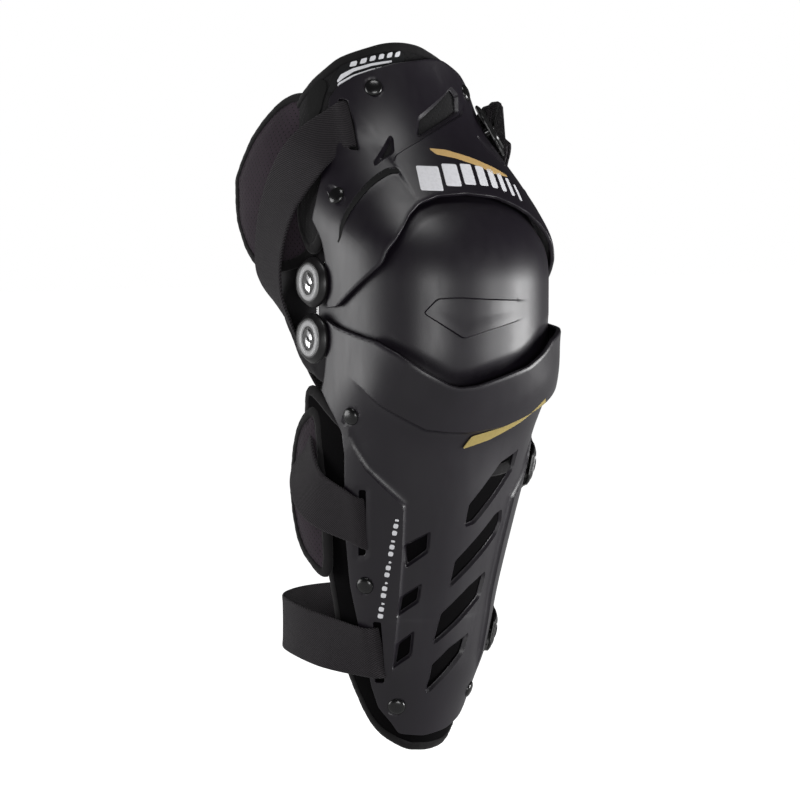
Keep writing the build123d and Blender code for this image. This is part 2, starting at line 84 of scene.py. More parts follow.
def cubic_rows(rows, z):
    """Columns of a form's rows at heights z, by smooth interpolation."""
    rows = np.array(sorted(rows), float)
    z = np.clip(z, rows[0, 0], rows[-1, 0])
    low = np.clip(np.searchsorted(rows[:, 0], z) - 1, 0, len(rows) - 2)
    before, after = np.maximum(low - 1, 0), np.minimum(low + 2, len(rows) - 1)
    start, end = rows[low], rows[low + 1]
    span = (end[:, 0] - start[:, 0])[:, None]
    s = (z - start[:, 0])[:, None] / span
    slope_in = (end - rows[before]) / (end[:, :1] - rows[before][:, :1]) * span
    slope_out = (rows[after] - start) / (rows[after][:, :1] - start[:, :1]) * span
    value = ((2 * s ** 3 - 3 * s ** 2 + 1) * start + (s ** 3 - 2 * s ** 2 + s) * slope_in
             + (3 * s ** 2 - 2 * s ** 3) * end + (s ** 3 - s ** 2) * slope_out)
    return value[:, 1:]


def body_section(rows):
    """Section law of a body form: half width, depth, centre and power at heights z."""
    return lambda z: cubic_rows(rows, z)


def cup_section(z):
    """Section law of the cup's dome."""
    reach = np.where(z > 0, CUP_RISE, CUP_DROP)
    rise = np.clip((np.abs(z) - PIVOT_Z) / reach, 0, 0.97)
    half_width = CUP_HALF_WIDTH * (1 - rise ** CUP_POWER) ** (1 / CUP_POWER)
    depth = CUP_DEPTH * np.sqrt(1 - rise ** 2)
    return np.stack([half_width, depth, 0 * z, 0 * z + CUP_POWER], 1)


class Form:
    """A surface round the leg: u is millimetres round it from the front, z is height."""

    REACH = 260               # furthest u
    MIDDLE = 700              # column of the front among the angles round the leg
    FRONT_SPAN = 360          # columns to each side of it that count as the front

    def __init__(self, section, low, high):
        self.low, self.count = low, int(high - low) + 1
        self.law = section(np.linspace(low, low + self.count - 1, self.count))
        angle = np.radians(np.linspace(-175, 175, 2 * self.MIDDLE + 1))
        x, y = self._polar(self.law[:, :, None], angle[None, :])
        run = np.hypot(np.diff(x, axis=1), np.diff(y, axis=1))
        u = np.concatenate([np.zeros((self.count, 1)), np.cumsum(run, 1)], 1)
        u -= u[:, self.MIDDLE:self.MIDDLE + 1]
        self.u, self.x, self.y = u, x, y
        steps = np.arange(-self.REACH, self.REACH + 1)
        self.table = np.array([np.interp(steps, u[i], angle) for i in range(self.count)])

    @staticmethod
    def _polar(law, angle):
        half_width, depth, centre, power = (law[:, k] for k in range(4))
        s, c = np.sin(angle), np.cos(angle)
        r = (np.abs(s / half_width) ** power + np.abs(c / depth) ** power) ** (-1 / power)
        return r * s, centre - r * c

    def _row(self, z):
        row = np.clip(z - self.low, 0, self.count - 1.001)
        return row.astype(int), row - row.astype(int)

    def _nearest_row(self, z):
        return int(np.clip(round(z - self.low), 0, self.count - 1))

    def place(self, p):
        """Points on the form for (u, z) pairs."""
        u, z = p[:, 0], p[:, 1]
        row, part = self._row(z)
        column = np.clip(u + self.REACH, 0, 2 * self.REACH - 0.001)
        c, f = column.astype(int), column - column.astype(int)
        t = self.table
        low = t[row, c] * (1 - f) + t[row, c + 1] * f
        high = t[row + 1, c] * (1 - f) + t[row + 1, c + 1] * f
        angle = low * (1 - part) + high * part
        law = self.law[row] * (1 - part[:, None]) + self.law[row + 1] * part[:, None]
        x, y = self._polar(law, angle)
        return np.stack([x, y, z], 1)

    def normals(self, p):
        step_u, step_z = np.array([1.0, 0]), np.array([0, 1.0])
        du = self.place(p + step_u) - self.place(p - step_u)
        dz = self.place(p + step_z) - self.place(p - step_z)
        return unit(np.cross(du, dz))

    def front(self, x, z):
        """(u, z) of the point on the front at x, z."""
        i = self._nearest_row(z)
        first = self.MIDDLE - self.FRONT_SPAN
        near = self.x[i, first:self.MIDDLE + self.FRONT_SPAN + 1]
        span = slice(first + int(np.argmin(near)), first + int(np.argmax(near)) + 1)
        return float(np.interp(x, self.x[i, span], self.u[i, span])), z

    def side(self, y, z, side):
        """(u, z) of the point on one side at y, z; side is -1 for -X."""
        i = self._nearest_row(z)
        half = slice(self.MIDDLE, None, 1 if side > 0 else -1)
        return float(np.interp(y, self.y[i, half], self.u[i, half])), z

    def fronts(self, points):
        return [self.front(x, z) for x, z in points]

    def sides(self, points, side):
        return [self.side(y, z, side) for y, z in points]


def soften(outline, radius):
    """Closed outline with each corner rounded to about the radius."""
    p = np.array(outline, float)
    count, result = len(p), []
    for i in range(count):
        before, here, after = p[i - 1], p[i], p[(i + 1) % count]
        back, ahead = before - here, after - here
        reach_back = min(radius, 0.45 * np.linalg.norm(back))
        reach_ahead = min(radius, 0.45 * np.linalg.norm(ahead))
        a = here + back / np.linalg.norm(back) * reach_back
        b = here + ahead / np.linalg.norm(ahead) * reach_ahead
        for t in (0, 0.25, 0.5, 0.75, 1):
            result.append((1 - t) ** 2 * a + 2 * t * (1 - t) * here + t * t * b)
    return np.array(result)


def line_distance(line, p, closed=False, reach=30.0):
    """Distance from points p to a line, signed positive on its left, and the share of its length there."""
    line = np.array(line, float)
    ends = np.roll(line, -1, 0) if closed else line[1:]
    starts = line if closed else line[:-1]
    near = np.all((p > line.min(0) - reach) & (p < line.max(0) + reach), axis=1)
    q = p[near]
    best, signed, share = np.full(len(q), 1e9), np.full(len(q), float(reach)), np.zeros(len(q))
    run = 0.0
    for a, b in zip(starts, ends):
        along = b - a
        length = np.hypot(*along)
        if length < 1e-6:
            continue
        offset = q - a
        t = np.clip(offset @ along / length ** 2, 0, 1)
        gap = offset - t[:, None] * along
        distance = np.hypot(gap[:, 0], gap[:, 1])
        nearer = distance < best
        cross = along[0] * offset[:, 1] - along[1] * offset[:, 0]
        best = np.where(nearer, distance, best)
        signed = np.where(nearer, np.where(cross < 0, -distance, distance), signed)
        share = np.where(nearer, run + t * length, share)
        run += length
    all_signed, all_share = np.full(len(p), float(reach)), np.zeros(len(p))
    all_signed[near], all_share[near] = signed, share / run
    return all_signed, all_share


def away(line, p):
    """Distance from points p to an open line."""
    return np.abs(line_distance(line, p)[0])


def inside(outline, p, reach=15.0):
    """Signed distance to a closed outline, positive inside it."""
    outline = np.array(outline, float)
    near = np.all((p > outline.min(0) - reach) & (p < outline.max(0) + reach), axis=1)
    result = np.full(len(p), -float(reach))
    q = p[near]
    distance = np.abs(line_distance(outline, q, closed=True)[0])
    x, y = q[:, 0], q[:, 1]
    odd = np.zeros(len(q), bool)
    for a, b in zip(outline, np.roll(outline, -1, 0)):
        if a[1] != b[1]:
            crosses = (a[1] > y) != (b[1] > y)
            odd ^= crosses & (x < a[0] + (y - a[1]) / (b[1] - a[1]) * (b[0] - a[0]))
    result[near] = np.where(odd, distance, -distance)
    return result


def circle(centre, radius, count=40):
    turns = np.linspace(0, tau, count, endpoint=False)
    return np.stack([centre[0] + radius * np.cos(turns), centre[1] + radius * np.sin(turns)], 1)


def faded_distance(line, p, decay, ends):
    """Signed distance to a line, and a fade that falls to 0 within the given shares of its ends."""
    signed, share = line_distance(line, p, reach=3 * decay)
    return signed, smooth(share, 0, ends[0]) * smooth(1 - share, 0, ends[1])


def ledge(p, line, height, ramp, decay, ends):
    """Step along a line: full height just left of it, sinking away from it, fading at its ends."""
    signed, fade = faded_distance(line, p, decay, ends)
    return height * fade * smooth(signed, -ramp / 2, ramp / 2) * np.exp(-np.maximum(signed, 0) / decay)


def overhang(p, line, above, below, turn, decay, ends):
    """Crisp edge along a line: raised on its left, and a hollow on its right that eases out."""
    signed, fade = faded_distance(line, p, decay, ends)
    gap = np.maximum(-signed, 0)
    left = above * np.exp(-np.maximum(signed, 0) / decay)
    right = (above + below) * np.exp(-gap / turn) - below * np.exp(-gap / decay)
    return fade * np.where(signed > 0, left, right)


# ---------------------------------------------------------------- meshes
class Patch:
    """A flat mesh over (u, z) that is cut along outlines before it is bent onto a form."""

    SNAP = 0.32               # points this near to a cut, in steps, are moved onto it

    def __init__(self, low, high, step):
        columns = int((high[0] - low[0]) / step) + 2
        rows = int((high[1] - low[1]) / step) + 2
        u, z = np.meshgrid(low[0] + step * np.arange(columns), low[1] + step * np.arange(rows))
        self.points = np.stack([u.ravel(), z.ravel()], 1)
        self.step = step
        self.locked = np.zeros(len(self.points), bool)
        corner = (np.arange(rows - 1)[:, None] * columns + np.arange(columns - 1)[None, :]).ravel()
        self.faces = np.stack([corner, corner + 1, corner + columns + 1, corner + columns], 1).tolist()

    def cut(self, level, drop=True):
        """Cut the faces where level is 0. What lies below 0 is dropped unless drop is false."""
        value = level(self.points)
        steps = np.eye(2) * 0.05
        slope = np.stack([level(self.points + s) - level(self.points - s) for s in steps], 1) / 0.1
        near = (np.abs(value) < self.SNAP * self.step) & ~self.locked
        steep = np.maximum((slope ** 2).sum(1), 0.2)
        self.points[near] -= slope[near] * (value[near] / steep[near])[:, None]
        value[near] = 0
        value[np.abs(value) < 1e-6] = 0
        self.locked |= value == 0
        signs, values = np.sign(value).astype(int).tolist(), value.tolist()
        made, added, faces = {}, [], []
        for face in self.faces:
            sign = [signs[i] for i in face]
            if min(sign) >= 0 and max(sign) > 0:
                faces.append(face)
                continue
            if max(sign) <= 0:
                if not drop:
                    faces.append(face)
                continue
            above, below = [], []
            for k, i in enumerate(face):
                j = face[(k + 1) % len(face)]
                if signs[i] >= 0:
                    above.append(i)
                if signs[i] <= 0:
                    below.append(i)
                if signs[i] * signs[j] < 0:
                    key = (min(i, j), max(i, j))
                    if key not in made:
                        made[key] = len(self.points) + len(added)
                        share = values[i] / (values[i] - values[j])
                        added.append(self.points[i] * (1 - share) + self.points[j] * share)
                    above.append(made[key])
                    below.append(made[key])
            if len(above) > 2:
                faces.append(above)
            if not drop and len(below) > 2:
                faces.append(below)
        if added:
            self.points = np.concatenate([self.points, np.array(added)])
            self.locked = np.concatenate([self.locked, np.ones(len(added), bool)])
        self.faces = faces
        self._tidy()
        return self

    def _tidy(self):
        used = np.zeros(len(self.points), bool)
        for face in self.faces:
            used[face] = True
        index = np.cumsum(used) - 1
        self.points, self.locked = self.points[used], self.locked[used]
        moved = index.tolist()
        self.faces = [[moved[i] for i in face] for face in self.faces]

    def border(self):
        """Edges with a face on one side only, in the direction of that face."""
        edges = {}
        for face in self.faces:
            for a, b in zip(face, face[1:] + face[:1]):
                edges[(a, b)] = True
        return [(a, b) for a, b in edges if (b, a) not in edges]


def sheet_patch(outline, step, margin=1.0):
    """Patch that fills one closed outline."""
    patch = Patch(outline.min(0) - margin, outline.max(0) + margin, step)
    return patch.cut(lambda p: inside(outline, p))


def new_object(name, vertices, faces):
    """Smooth-shaded mesh object from vertices in millimetres."""
    mesh = bpy.data.meshes.new(name)
    mesh.from_pydata([tuple(v) for v in np.asarray(vertices, float) * MM], [], [tuple(f) for f in faces])
    mesh.validate()
    mesh.polygons.foreach_set("use_smooth", [True] * len(mesh.polygons))
    mesh.update()
    made = bpy.data.objects.new(name, mesh)
    bpy.context.scene.collection.objects.link(made)
    return made


def moulded(name, form, patch, relief=None, wall=SHELL_WALL, edge=EDGE_ROUND, lift=0.0):
    """Closed wall on a form: outer face with relief, inner face, and rounded rims."""
    p = patch.points
    count = len(p)
    height = (relief(p) if relief else np.zeros(count)) + lift
    thickness = (wall(p) if callable(wall) else wall) + np.minimum(height - lift, 0) * 0.8
    normal = form.normals(p)
    outer = form.place(p) + normal * height[:, None]
    inner = outer - normal * thickness[:, None]
    border = patch.border()
    out = np.zeros((count, 3))
    for a, b in border:
        along = outer[b] - outer[a]
        aside = np.cross(along, normal[a] + normal[b])
        aside /= max(np.linalg.norm(aside), 1e-9)
        out[a] += aside
        out[b] += aside
    rim = sorted({i for pair in border for i in pair})
    out_rim = out[rim] / np.maximum(np.linalg.norm(out[rim], axis=1, keepdims=True), 1e-9)
    turns = [radians(a) for a in (30, 60, 90)]
    profile = [(edge * sin(t), edge * (1 - cos(t)), 0) for t in turns]
    profile += [(edge * sin(t), -edge * (1 - cos(t)), 1) for t in turns[::-1]]
    vertices = [outer, inner]
    for aside, down, share in profile:
        depth = down + share * thickness[rim]
        vertices.append(outer[rim] + out_rim * aside - normal[rim] * depth[:, None])
    place = {i: k for k, i in enumerate(rim)}
    base = 2 * count

    def ring(level, i):
        if level < 0:
            return i
        if level == len(profile):
            return count + i
        return base + level * len(rim) + place[i]

    faces = list(patch.faces) + [[count + i for i in reversed(face)] for face in patch.faces]
    for a, b in border:
        for level in range(-1, len(profile)):
            faces.append([ring(level, b), ring(level, a), ring(level + 1, a), ring(level + 1, b)])
    return new_object(name, np.concatenate(vertices), faces)


def set_uv(made, uv):
    """Write one (u, v) pair per vertex, in centimetres, for the woven and perforated materials."""
    layer = made.data.uv_layers.new(name="cloth")
    index = np.zeros(len(made.data.loops), int)
    made.data.loops.foreach_get("vertex_index", index)
    layer.data.foreach_set("uv", np.asarray(uv, float)[index].ravel())


def sharpen(made, degrees=32):
    made.data.set_sharp_from_angle(angle=radians(degrees))
    return made


def place_on(form, x, z):
    """Point at x, z on the front of a form, and the across, up and outward directions there."""
    at = np.array([form.front(x, z)])
    point, normal = form.place(at)[0], form.normals(at)[0]
    across = unit(np.cross([0, 0, 1.0], normal))
    return point, across, np.cross(normal, across), normal


def oriented(axes, points):
    """Local (across, up, out) points moved into the shared frame."""
    origin, across, up, normal = axes
    points = np.asarray(points, float)
    return origin + points[:, :1] * across + points[:, 1:2] * up + points[:, 2:3] * normal


def lofted(name, rings):
    """Closed mesh through rings with the same number of points, each a closed loop."""
    levels, count = len(rings), len(rings[0])
    faces = []
    for low in range(levels - 1):
        for i in range(count):
            j = (i + 1) % count
            faces.append([low * count + i, low * count + j, (low + 1) * count + j, (low + 1) * count + i])
    faces.append(list(range(count))[::-1])
    faces.append([(levels - 1) * count + i for i in range(count)])
    return new_object(name, np.concatenate(rings), faces)


def hoop(name, rings):
    """Closed mesh through rings whose last joins the first."""
    levels, count = len(rings), len(rings[0])
    faces = []
    for low in range(levels):
        high = (low + 1) % levels
        for i in range(count):
            j = (i + 1) % count
            faces.append([low * count + i, high * count + i, high * count + j, low * count + j])
    return new_object(name, np.concatenate(rings), faces)


def outline_rings(outline, profile):
    """Rings from a flat outline and (inset, height) steps; the outline is scaled about its middle."""
    outline = np.array(outline, float)
    middle = (outline.max(0) + outline.min(0)) / 2
    half = (outline.max(0) - outline.min(0)) / 2
    rings = []
    for inset, height in profile:
        flat = middle + (outline - middle) * (1 - inset / half)
        rings.append(np.column_stack([flat, np.full(len(flat), height)]))
    return rings


def join(name, pieces):
    """One object from several."""
    bpy.ops.object.select_all(action="DESELECT")
    for piece in pieces:
        piece.select_set(True)
    bpy.context.view_layer.objects.active = pieces[0]
    bpy.ops.object.join()
    pieces[0].name = name
    return pieces[0]


def curve_piece(a, b, c, d, count):
    """Points on a smooth curve from b up to c, which comes from a and goes on to d."""
    square, cube = 2 * a - 5 * b + 4 * c - d, 3 * b - a - 3 * c + d
    shares = np.linspace(0, 1, count, endpoint=False)
    return [0.5 * (2 * b + (c - a) * t + square * t * t + cube * t ** 3) for t in shares]


def smooth_path(points, step=2.0):
    """Points every step along a smooth curve through the given points, and how far along each is."""
    p = np.array(points, float)
    p = np.concatenate([[2 * p[0] - p[1]], p, [2 * p[-1] - p[-2]]])
    dense = []
    for i in range(1, len(p) - 2):
        dense += curve_piece(*p[i - 1:i + 3], 40)
    dense.append(p[-2])
    dense = np.array(dense)
    run = np.concatenate([[0], np.cumsum(np.linalg.norm(np.diff(dense, axis=0), axis=1))])
    places = np.linspace(0, run[-1], max(int(run[-1] / step), 2) + 1)
    return np.stack([np.interp(places, run, dense[:, k]) for k in range(p.shape[1])], 1), places


# ---------------------------------------------------------------- materials
def shader(name, colour, roughness, metallic=0.0, specular=0.5, sheen=0.0):
    """Material with a Principled shader, and its node tree."""
    made = bpy.data.materials.new(name)
    made.use_nodes = True
    tree = made.node_tree
    surface = tree.nodes["Principled BSDF"]
    surface.inputs["Base Color"].default_value = (*colour, 1)
    surface.inputs["Roughness"].default_value = roughness
    surface.inputs["Metallic"].default_value = metallic
    surface.inputs["Specular IOR Level"].default_value = specular
    surface.inputs["Sheen Weight"].default_value = sheen
    surface.inputs["Sheen Roughness"].default_value = 0.4
    return made, tree, surface


def add_node(tree, kind, inputs, **settings):
    """Shader node with its settings made, and each input linked to a socket or given a value."""
    node = tree.nodes.new("ShaderNode" + kind)
    for name, value in settings.items():
        setattr(node, name, value)
    for name, value in inputs.items():
        if isinstance(value, bpy.types.NodeSocket):
            tree.links.new(value, node.inputs[name])
        else:
            node.inputs[name].default_value = value
    return node


def coordinates(tree, kind="Object", scale=(1, 1, 1), turn=0.0):
    """Texture coordinates in metres (Object) or centimetres (UV), stretched and turned."""
    source = add_node(tree, "TexCoord", {}).outputs[kind]
    inputs = {"Vector": source, "Scale": scale, "Rotation": (0, 0, radians(turn))}
    return add_node(tree, "Mapping", inputs).outputs["Vector"]


def noise_map(tree, vector, scale, detail):
    return add_node(tree, "TexNoise", {"Vector": vector, "Scale": scale, "Detail": detail}).outputs["Fac"]


def wave_map(tree, vector, scale):
    return add_node(tree, "TexWave", {"Vector": vector, "Scale": scale}, bands_direction="X").outputs["Fac"]


def ramp(tree, value, stops):
    """Colour ramp with (place, colour) stops; a bare number is a grey."""
    node = add_node(tree, "ValToRGB", {"Fac": value})
    for element, (place, colour) in zip(node.color_ramp.elements, stops):
        element.position = place
        element.color = (*colour, 1) if hasattr(colour, "__len__") else (colour, colour, colour, 1)
    return node.outputs["Color"]


def maths(tree, operation, first, second):
    return add_node(tree, "Math", {0: first, 1: second}, operation=operation).outputs[0]


def bump(tree, surface, height, distance, strength, before=None):
    """Bump on a shader's normal, on top of an earlier one; distance in metres."""
    inputs = {"Height": height, "Distance": distance, "Strength": strength}
    if before:
        inputs["Normal"] = before
    normal = add_node(tree, "Bump", inputs).outputs["Normal"]
    tree.links.new(normal, surface.inputs["Normal"])
    return normal


def scaled(colour, factor):
    return tuple(c * factor for c in colour)


def moulded_plastic(name, colour, roughness, grain=0.00003, spread=0.06):
    """Injection-moulded plastic: fine grain, faint flow marks and light rub marks."""
    made, tree, surface = shader(name, colour, roughness)
    place = coordinates(tree)
    flow = noise_map(tree, place, 14, 4)
    tone = ramp(tree, flow, [(0.3, scaled(colour, 0.85)), (0.7, scaled(colour, 1.2))])
    tree.links.new(tone, surface.inputs["Base Color"])
    rub = noise_map(tree, coordinates(tree, scale=(1, 1, 0.25)), 160, 5)
    level = maths(tree, "ADD", maths(tree, "MULTIPLY", rub, spread * 2), roughness - spread)
    tree.links.new(level, surface.inputs["Roughness"])
    first = bump(tree, surface, noise_map(tree, place, 1500, 2), grain, 0.6)
    bump(tree, surface, noise_map(tree, place, 45, 2), 0.0002, 0.12, before=first)
    return made


def woven(name, colour, light, pitch=0.13):
    """Elastic webbing: diagonal rib weave with a pitch in centimetres; light is how bright its ribs are, a
    painted highlight on the ribs with painted shade between them.
    """
    made, tree, surface = shader(name, colour, 0.75, specular=0.2, sheen=0.07)
    scale = 0.31416 / pitch
    diagonal = wave_map(tree, coordinates(tree, "UV", turn=32), scale)
    cross = wave_map(tree, coordinates(tree, "UV", turn=-58), scale * 1.7)
    rib = maths(tree, "ADD", maths(tree, "MULTIPLY", diagonal, 0.65), maths(tree, "MULTIPLY", cross, 0.35))
    # Ribs painted lighter and hollows darker with the weave's height: painted highlight and shade.
    tone = ramp(tree, rib, [(0.2, scaled(colour, 0.2)), (0.85, scaled(colour, light))])
    tree.links.new(tone, surface.inputs["Base Color"])
    first = bump(tree, surface, rib, 0.00035, 0.8)
    bump(tree, surface, noise_map(tree, coordinates(tree), 700, 3), 0.00012, 0.5, before=first)
    return made


def cloth(name, colour, fuzz, dots=False, shine=0.2):
    """Knitted or perforated lining fabric; the dots are small punched holes in staggered rows."""
    made, tree, surface = shader(name, colour, 0.85, specular=shine, sheen=fuzz)
    place = coordinates(tree)
    tone = noise_map(tree, place, 30, 4)
    base = ramp(tree, tone, [(0.3, scaled(colour, 0.8)), (0.7, scaled(colour, 1.25))])
    knit = noise_map(tree, coordinates(tree, scale=(1, 1, 1.6)), 1300, 2)
    if dots:
        inputs = {"Vector": coordinates(tree, "UV", turn=45), "Scale": 3.3, "Randomness": 0.0}
        cells = add_node(tree, "TexVoronoi", inputs)
        hole = ramp(tree, cells.outputs["Distance"], [(0.13, 0.0), (0.2, 1.0)])
        mix = tree.nodes.new("ShaderNodeMix")
        mix.data_type = "RGBA"
        mix.inputs["A"].default_value = (0.002, 0.002, 0.002, 1)
        tree.links.new(hole, mix.inputs["Factor"])
        tree.links.new(base, mix.inputs["B"])
        base = mix.outputs["Result"]
        first = bump(tree, surface, hole, 0.0005, 0.5)
        bump(tree, surface, knit, 0.0002, 0.5, before=first)
    else:
        bump(tree, surface, knit, 0.00025, 0.6)
    tree.links.new(base, surface.inputs["Base Color"])
    return made


def metal(name, colour, roughness):
    """Metal brushed up and down."""
    made, tree, surface = shader(name, colour, roughness, metallic=1.0)
    lines = noise_map(tree, coordinates(tree, scale=(1, 1, 30)), 220, 4)
    level = maths(tree, "ADD", maths(tree, "MULTIPLY", lines, 0.18), roughness - 0.08)
    tree.links.new(level, surface.inputs["Roughness"])
    bump(tree, surface, lines, 0.00004, 0.4)
    return made


def print_ink_or_painted_shade(name, colour, roughness=0.45):
    """Thin printed or foil mark with a little wear; also the near-black painted shade in the thigh's groove.
    """
    made, tree, surface = shader(name, colour, roughness)
    worn = noise_map(tree, coordinates(tree), 500, 5)
    tone = ramp(tree, worn, [(0.35, scaled(colour, 0.92)), (0.55, colour)])
    tree.links.new(tone, surface.inputs["Base Color"])
    bump(tree, surface, worn, 0.00003, 0.4)
    return made


MATERIALS = {}
for maker, name, colour, *rest in (
        (moulded_plastic, "shell_black", (0.0062, 0.0044, 0.0078), 0.4),
        (moulded_plastic, "cup_black", (0.0062, 0.0044, 0.0078), 0.42, 0.00005),
        (moulded_plastic, "cap_black", (0.0055, 0.005, 0.0055), 0.36),
        (moulded_plastic, "clip_black", (0.005, 0.005, 0.0052), 0.32),
        (moulded_plastic, "rivet_black", (0.0045, 0.0045, 0.0047), 0.24, 0.00001, 0.04),
        # Near-black matt patch for the thigh's groove: painted shade standing in for the shadow under the
        # groove's overhang.
        (print_ink_or_painted_shade, "groove_black", (0.0006, 0.0006, 0.0007), 0.95),
        # Shin lining, darker and less shiny than the thigh's foam: painted shade standing in for the shadow
        # deep inside the shin's vents.
        (cloth, "lining_deep", (0.0015, 0.0013, 0.0016), 0.01, False, 0.05),
        (cloth, "foam_black", (0.006, 0.0056, 0.0062), 0.1, True),
        (cloth, "mesh_grey", (0.026, 0.018, 0.025), 0.12, True),
        (cloth, "lining_plain", (0.008, 0.007, 0.0085), 0.1),
        (cloth, "binding_black", (0.007, 0.0065, 0.007), 0.1),
        (woven, "webbing_black", (0.0088, 0.0077, 0.0088), 4.2),
        (cloth, "label_black", (0.007, 0.007, 0.008), 0.05),
        (metal, "badge_silver", (0.75, 0.75, 0.76), 0.28),
        (moulded_plastic, "ring_grey", (0.33, 0.33, 0.335), 0.3),
        (metal, "steel", (0.62, 0.62, 0.62), 0.25),
        (moulded_plastic, "nylon_white", (0.6, 0.59, 0.56), 0.4),
        (print_ink_or_painted_shade, "print_white", (0.7, 0.7, 0.73)),
        (print_ink_or_painted_shade, "print_gold", (0.5, 0.33, 0.13)),
        (print_ink_or_painted_shade, "print_olive", (0.3, 0.23, 0.07)),
        (cloth, "thread_grey", (0.02, 0.02, 0.021), 0.35)):
    MATERIALS[name] = maker(name, colour, *rest)


def dress(piece, material, body=None):
    """Give a piece its material and slot, and let it ride on a body."""
    piece.data.materials.clear()
    piece.data.materials.append(MATERIALS[material])
    if body:
        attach(piece, body)
    return piece


# ---------------------------------------------------------------- shells
THIGH = Form(body_section(THIGH_FORM), -20, 192)
SHIN = Form(body_section(SHIN_FORM), -312, 30)
CUP = Form(cup_section, -100, 88)


def ear(centre_z, radius, start, end, count=14):
    """(y, z) points round a shell's ear."""
    turns = np.radians(np.linspace(start, end, count))
    return [(radius * cos(t), centre_z + radius * sin(t)) for t in turns]


THIGH_REAR = [(19, 153), (23, 144), (20, 135), (1, 88), (0, 73), (3, 60), (12, 43)]
THIGH_LEG = [(-24, 4), (-54, 26), (-62, 33)]
THIGH_ARCH = [(-69, 42), (-63, 51), (-50, 67), (-41, 74), (-26, 79), (-4, 80.5), (20, 78), (34, 73),
              (46, 67), (58, 57), (66, 46), (69, 42)]
THIGH_TOP = [(-45, 160), (-23, 168), (6, 172), (18, 171), (38, 162), (53, 149)]
THIGH_VENTS = [[(-13, 132), (23, 154), (29, 148), (25.5, 136), (18.5, 133), (-17.6, 118), (-18.6, 120)],
               [(-36.4, 120), (-34.6, 118), (-38.4, 108), (-54.5, 97), (-54.3, 100), (-47.7, 107)]]
THIGH_SLOT = [(-56, 145), (-51.5, 144), (-52.5, 127), (-57, 108), (-62, 109), (-58, 128)]
THIGH_GROOVE = [(-83.1, 46.5), (-81.5, 58.5), (-76.7, 70), (-68.1, 81.5), (-58.9, 90), (-49.2, 96),
                (-42.6, 97)]
THIGH_RIDGE = [(-46, 97), (-38.9, 105.5), (-31.7, 109.5), (-8.5, 120), (12, 128.5), (26, 133.5), (34, 141)]
THIGH_RIVETS = [(-37, 152), (42, 150), (-78, 78), (78, 78)]

COLLAR_LEFT = [(-21, -10), (-45, -15.5), (-60, -19)]
COLLAR_RIGHT = [(-60, -13), (-45, -12), (-21, -10)]
COLLAR = [(-66, -26), (-52, -38), (-44, -43), (-37, -47), (-30, -49), (-18, -48), (0, -43), (22, -36.5),
          (37, -28), (47, -20), (60, -15)]
SHIN_REAR = [(5, -36), (3, -42), (-8, -55), (-20, -71), (-25, -82), (-25, -97), (-14, -152), (-9, -190),
             (-7, -262), (-6, -279), (-10, -290)]
SHIN_TOE = [(-24, -298), (-8, -300), (10, -297), (27, -290)]
COLLAR_STEP = [(-81.8, -39.5), (-77.4, -49), (-69.8, -59), (-60.6, -66), (-43.3, -76), (-29.5, -78),
               (-14.5, -79), (12.8, -76), (38.6, -67), (54.5, -60), (70, -50), (80, -41)]
PANEL_EDGE = [(-79, -73), (-75, -92), (-68, -107), (-51, -127), (-46, -132), (-42, -164), (-39, -199),
              (-37.5, -242), (-35, -262)]
SHIN_SMALL_VENTS = [[(-42, -160), (-26, -150), (-24.5, -165), (-38, -177)],
                    [(-38.5, -197), (-26, -187), (-26, -201), (-39, -212)],
                    [(-37, -231), (-27, -221), (-26.5, -240), (-37, -250)]]
SHIN_SLASH_VENTS = [
    [(39, -98), (41, -96), (39, -111), (7, -147), (-1.6, -149), (-1, -133), (23, -104)],
    [(34.5, -139), (37, -149), (33, -157.5), (-4.5, -191), (-6.4, -193), (-5, -173), (6, -162), (26, -142)],
    [(26, -183), (28, -186), (25, -202), (-12, -232), (-14, -231), (-12, -218), (-10.5, -210), (11, -192)],
    [(17, -226), (14, -241), (-11.5, -269), (-14, -265), (-13, -257), (-13, -247), (0, -235)]]
CALF_SLOT = [(-69.5, -121), (-66, -121), (-59.5, -168), (-63, -169)]
ANKLE_SLOT = [(-51, -215), (-46.5, -215), (-38.5, -261), (-43.5, -261)]
SHIN_RIVETS = [(-78.5, -70.5), (-57, -189.5), (-29, -278), (33, -272.6)]
THIGH_BOX = (-135, -1), (135, 176)          # (u, z) corners of the mesh that each shell is cut from
SHIN_BOX = (-138, -302), (138, 1)
CUP_BOX = (-150, -90), (150, 86)
RIVET_HEAD = 6.2
SEAT_MARGIN = 0.7         # rim of a rivet's seat round its head
SEAT_DEPTH = 0.6
ARCH_LIP = 1.2            # band along an edge that turns inwards
COLLAR_LIP = 1.4
LIP_DEPTH = 0.5
FLARE_WIDTH = 16          # band along the collar's edge that flares outwards
FLARE_RISE = 2.0
SLOT_RAMP = 3.5           # sunk band round a strap slot
SLOT_DEPTH = 0.7
RIDGE_RAMP = 1.0
RIDGE_SHAPE = {"height": 1.5, "ramp": RIDGE_RAMP, "decay": 24, "ends": (0.15, 0.12)}
GROOVE_SHAPE = {"above": 0.7, "below": 1.9, "turn": 1.6, "decay": 9, "ends": (0.4, 0.02)}
STEP_SHAPE = {"above": 3.2, "below": 2.2, "turn": 3.2, "decay": 45, "ends": (0.2, 0.08)}
PANEL_SHAPE = {"above": 1.0, "below": 2.0, "turn": 1.5, "decay": 20}


def mirrored(points):
    return [(-x, z) for x, z in points]


def smooth_line(points):
    """Denser points along an open line."""
    return smooth_path([(u, z, 0) for u, z in points], 2.0)[0][:, :2]


def closed_outline(form, top, right, bottom, left, radius=2.5):
    """Shell outline: top and bottom as (x, z) points, right and left as (y, z) points, all clockwise."""
    outline = form.fronts(top) + form.sides(right, 1) + form.fronts(bottom) + form.sides(left, -1)
    return soften(outline, radius)


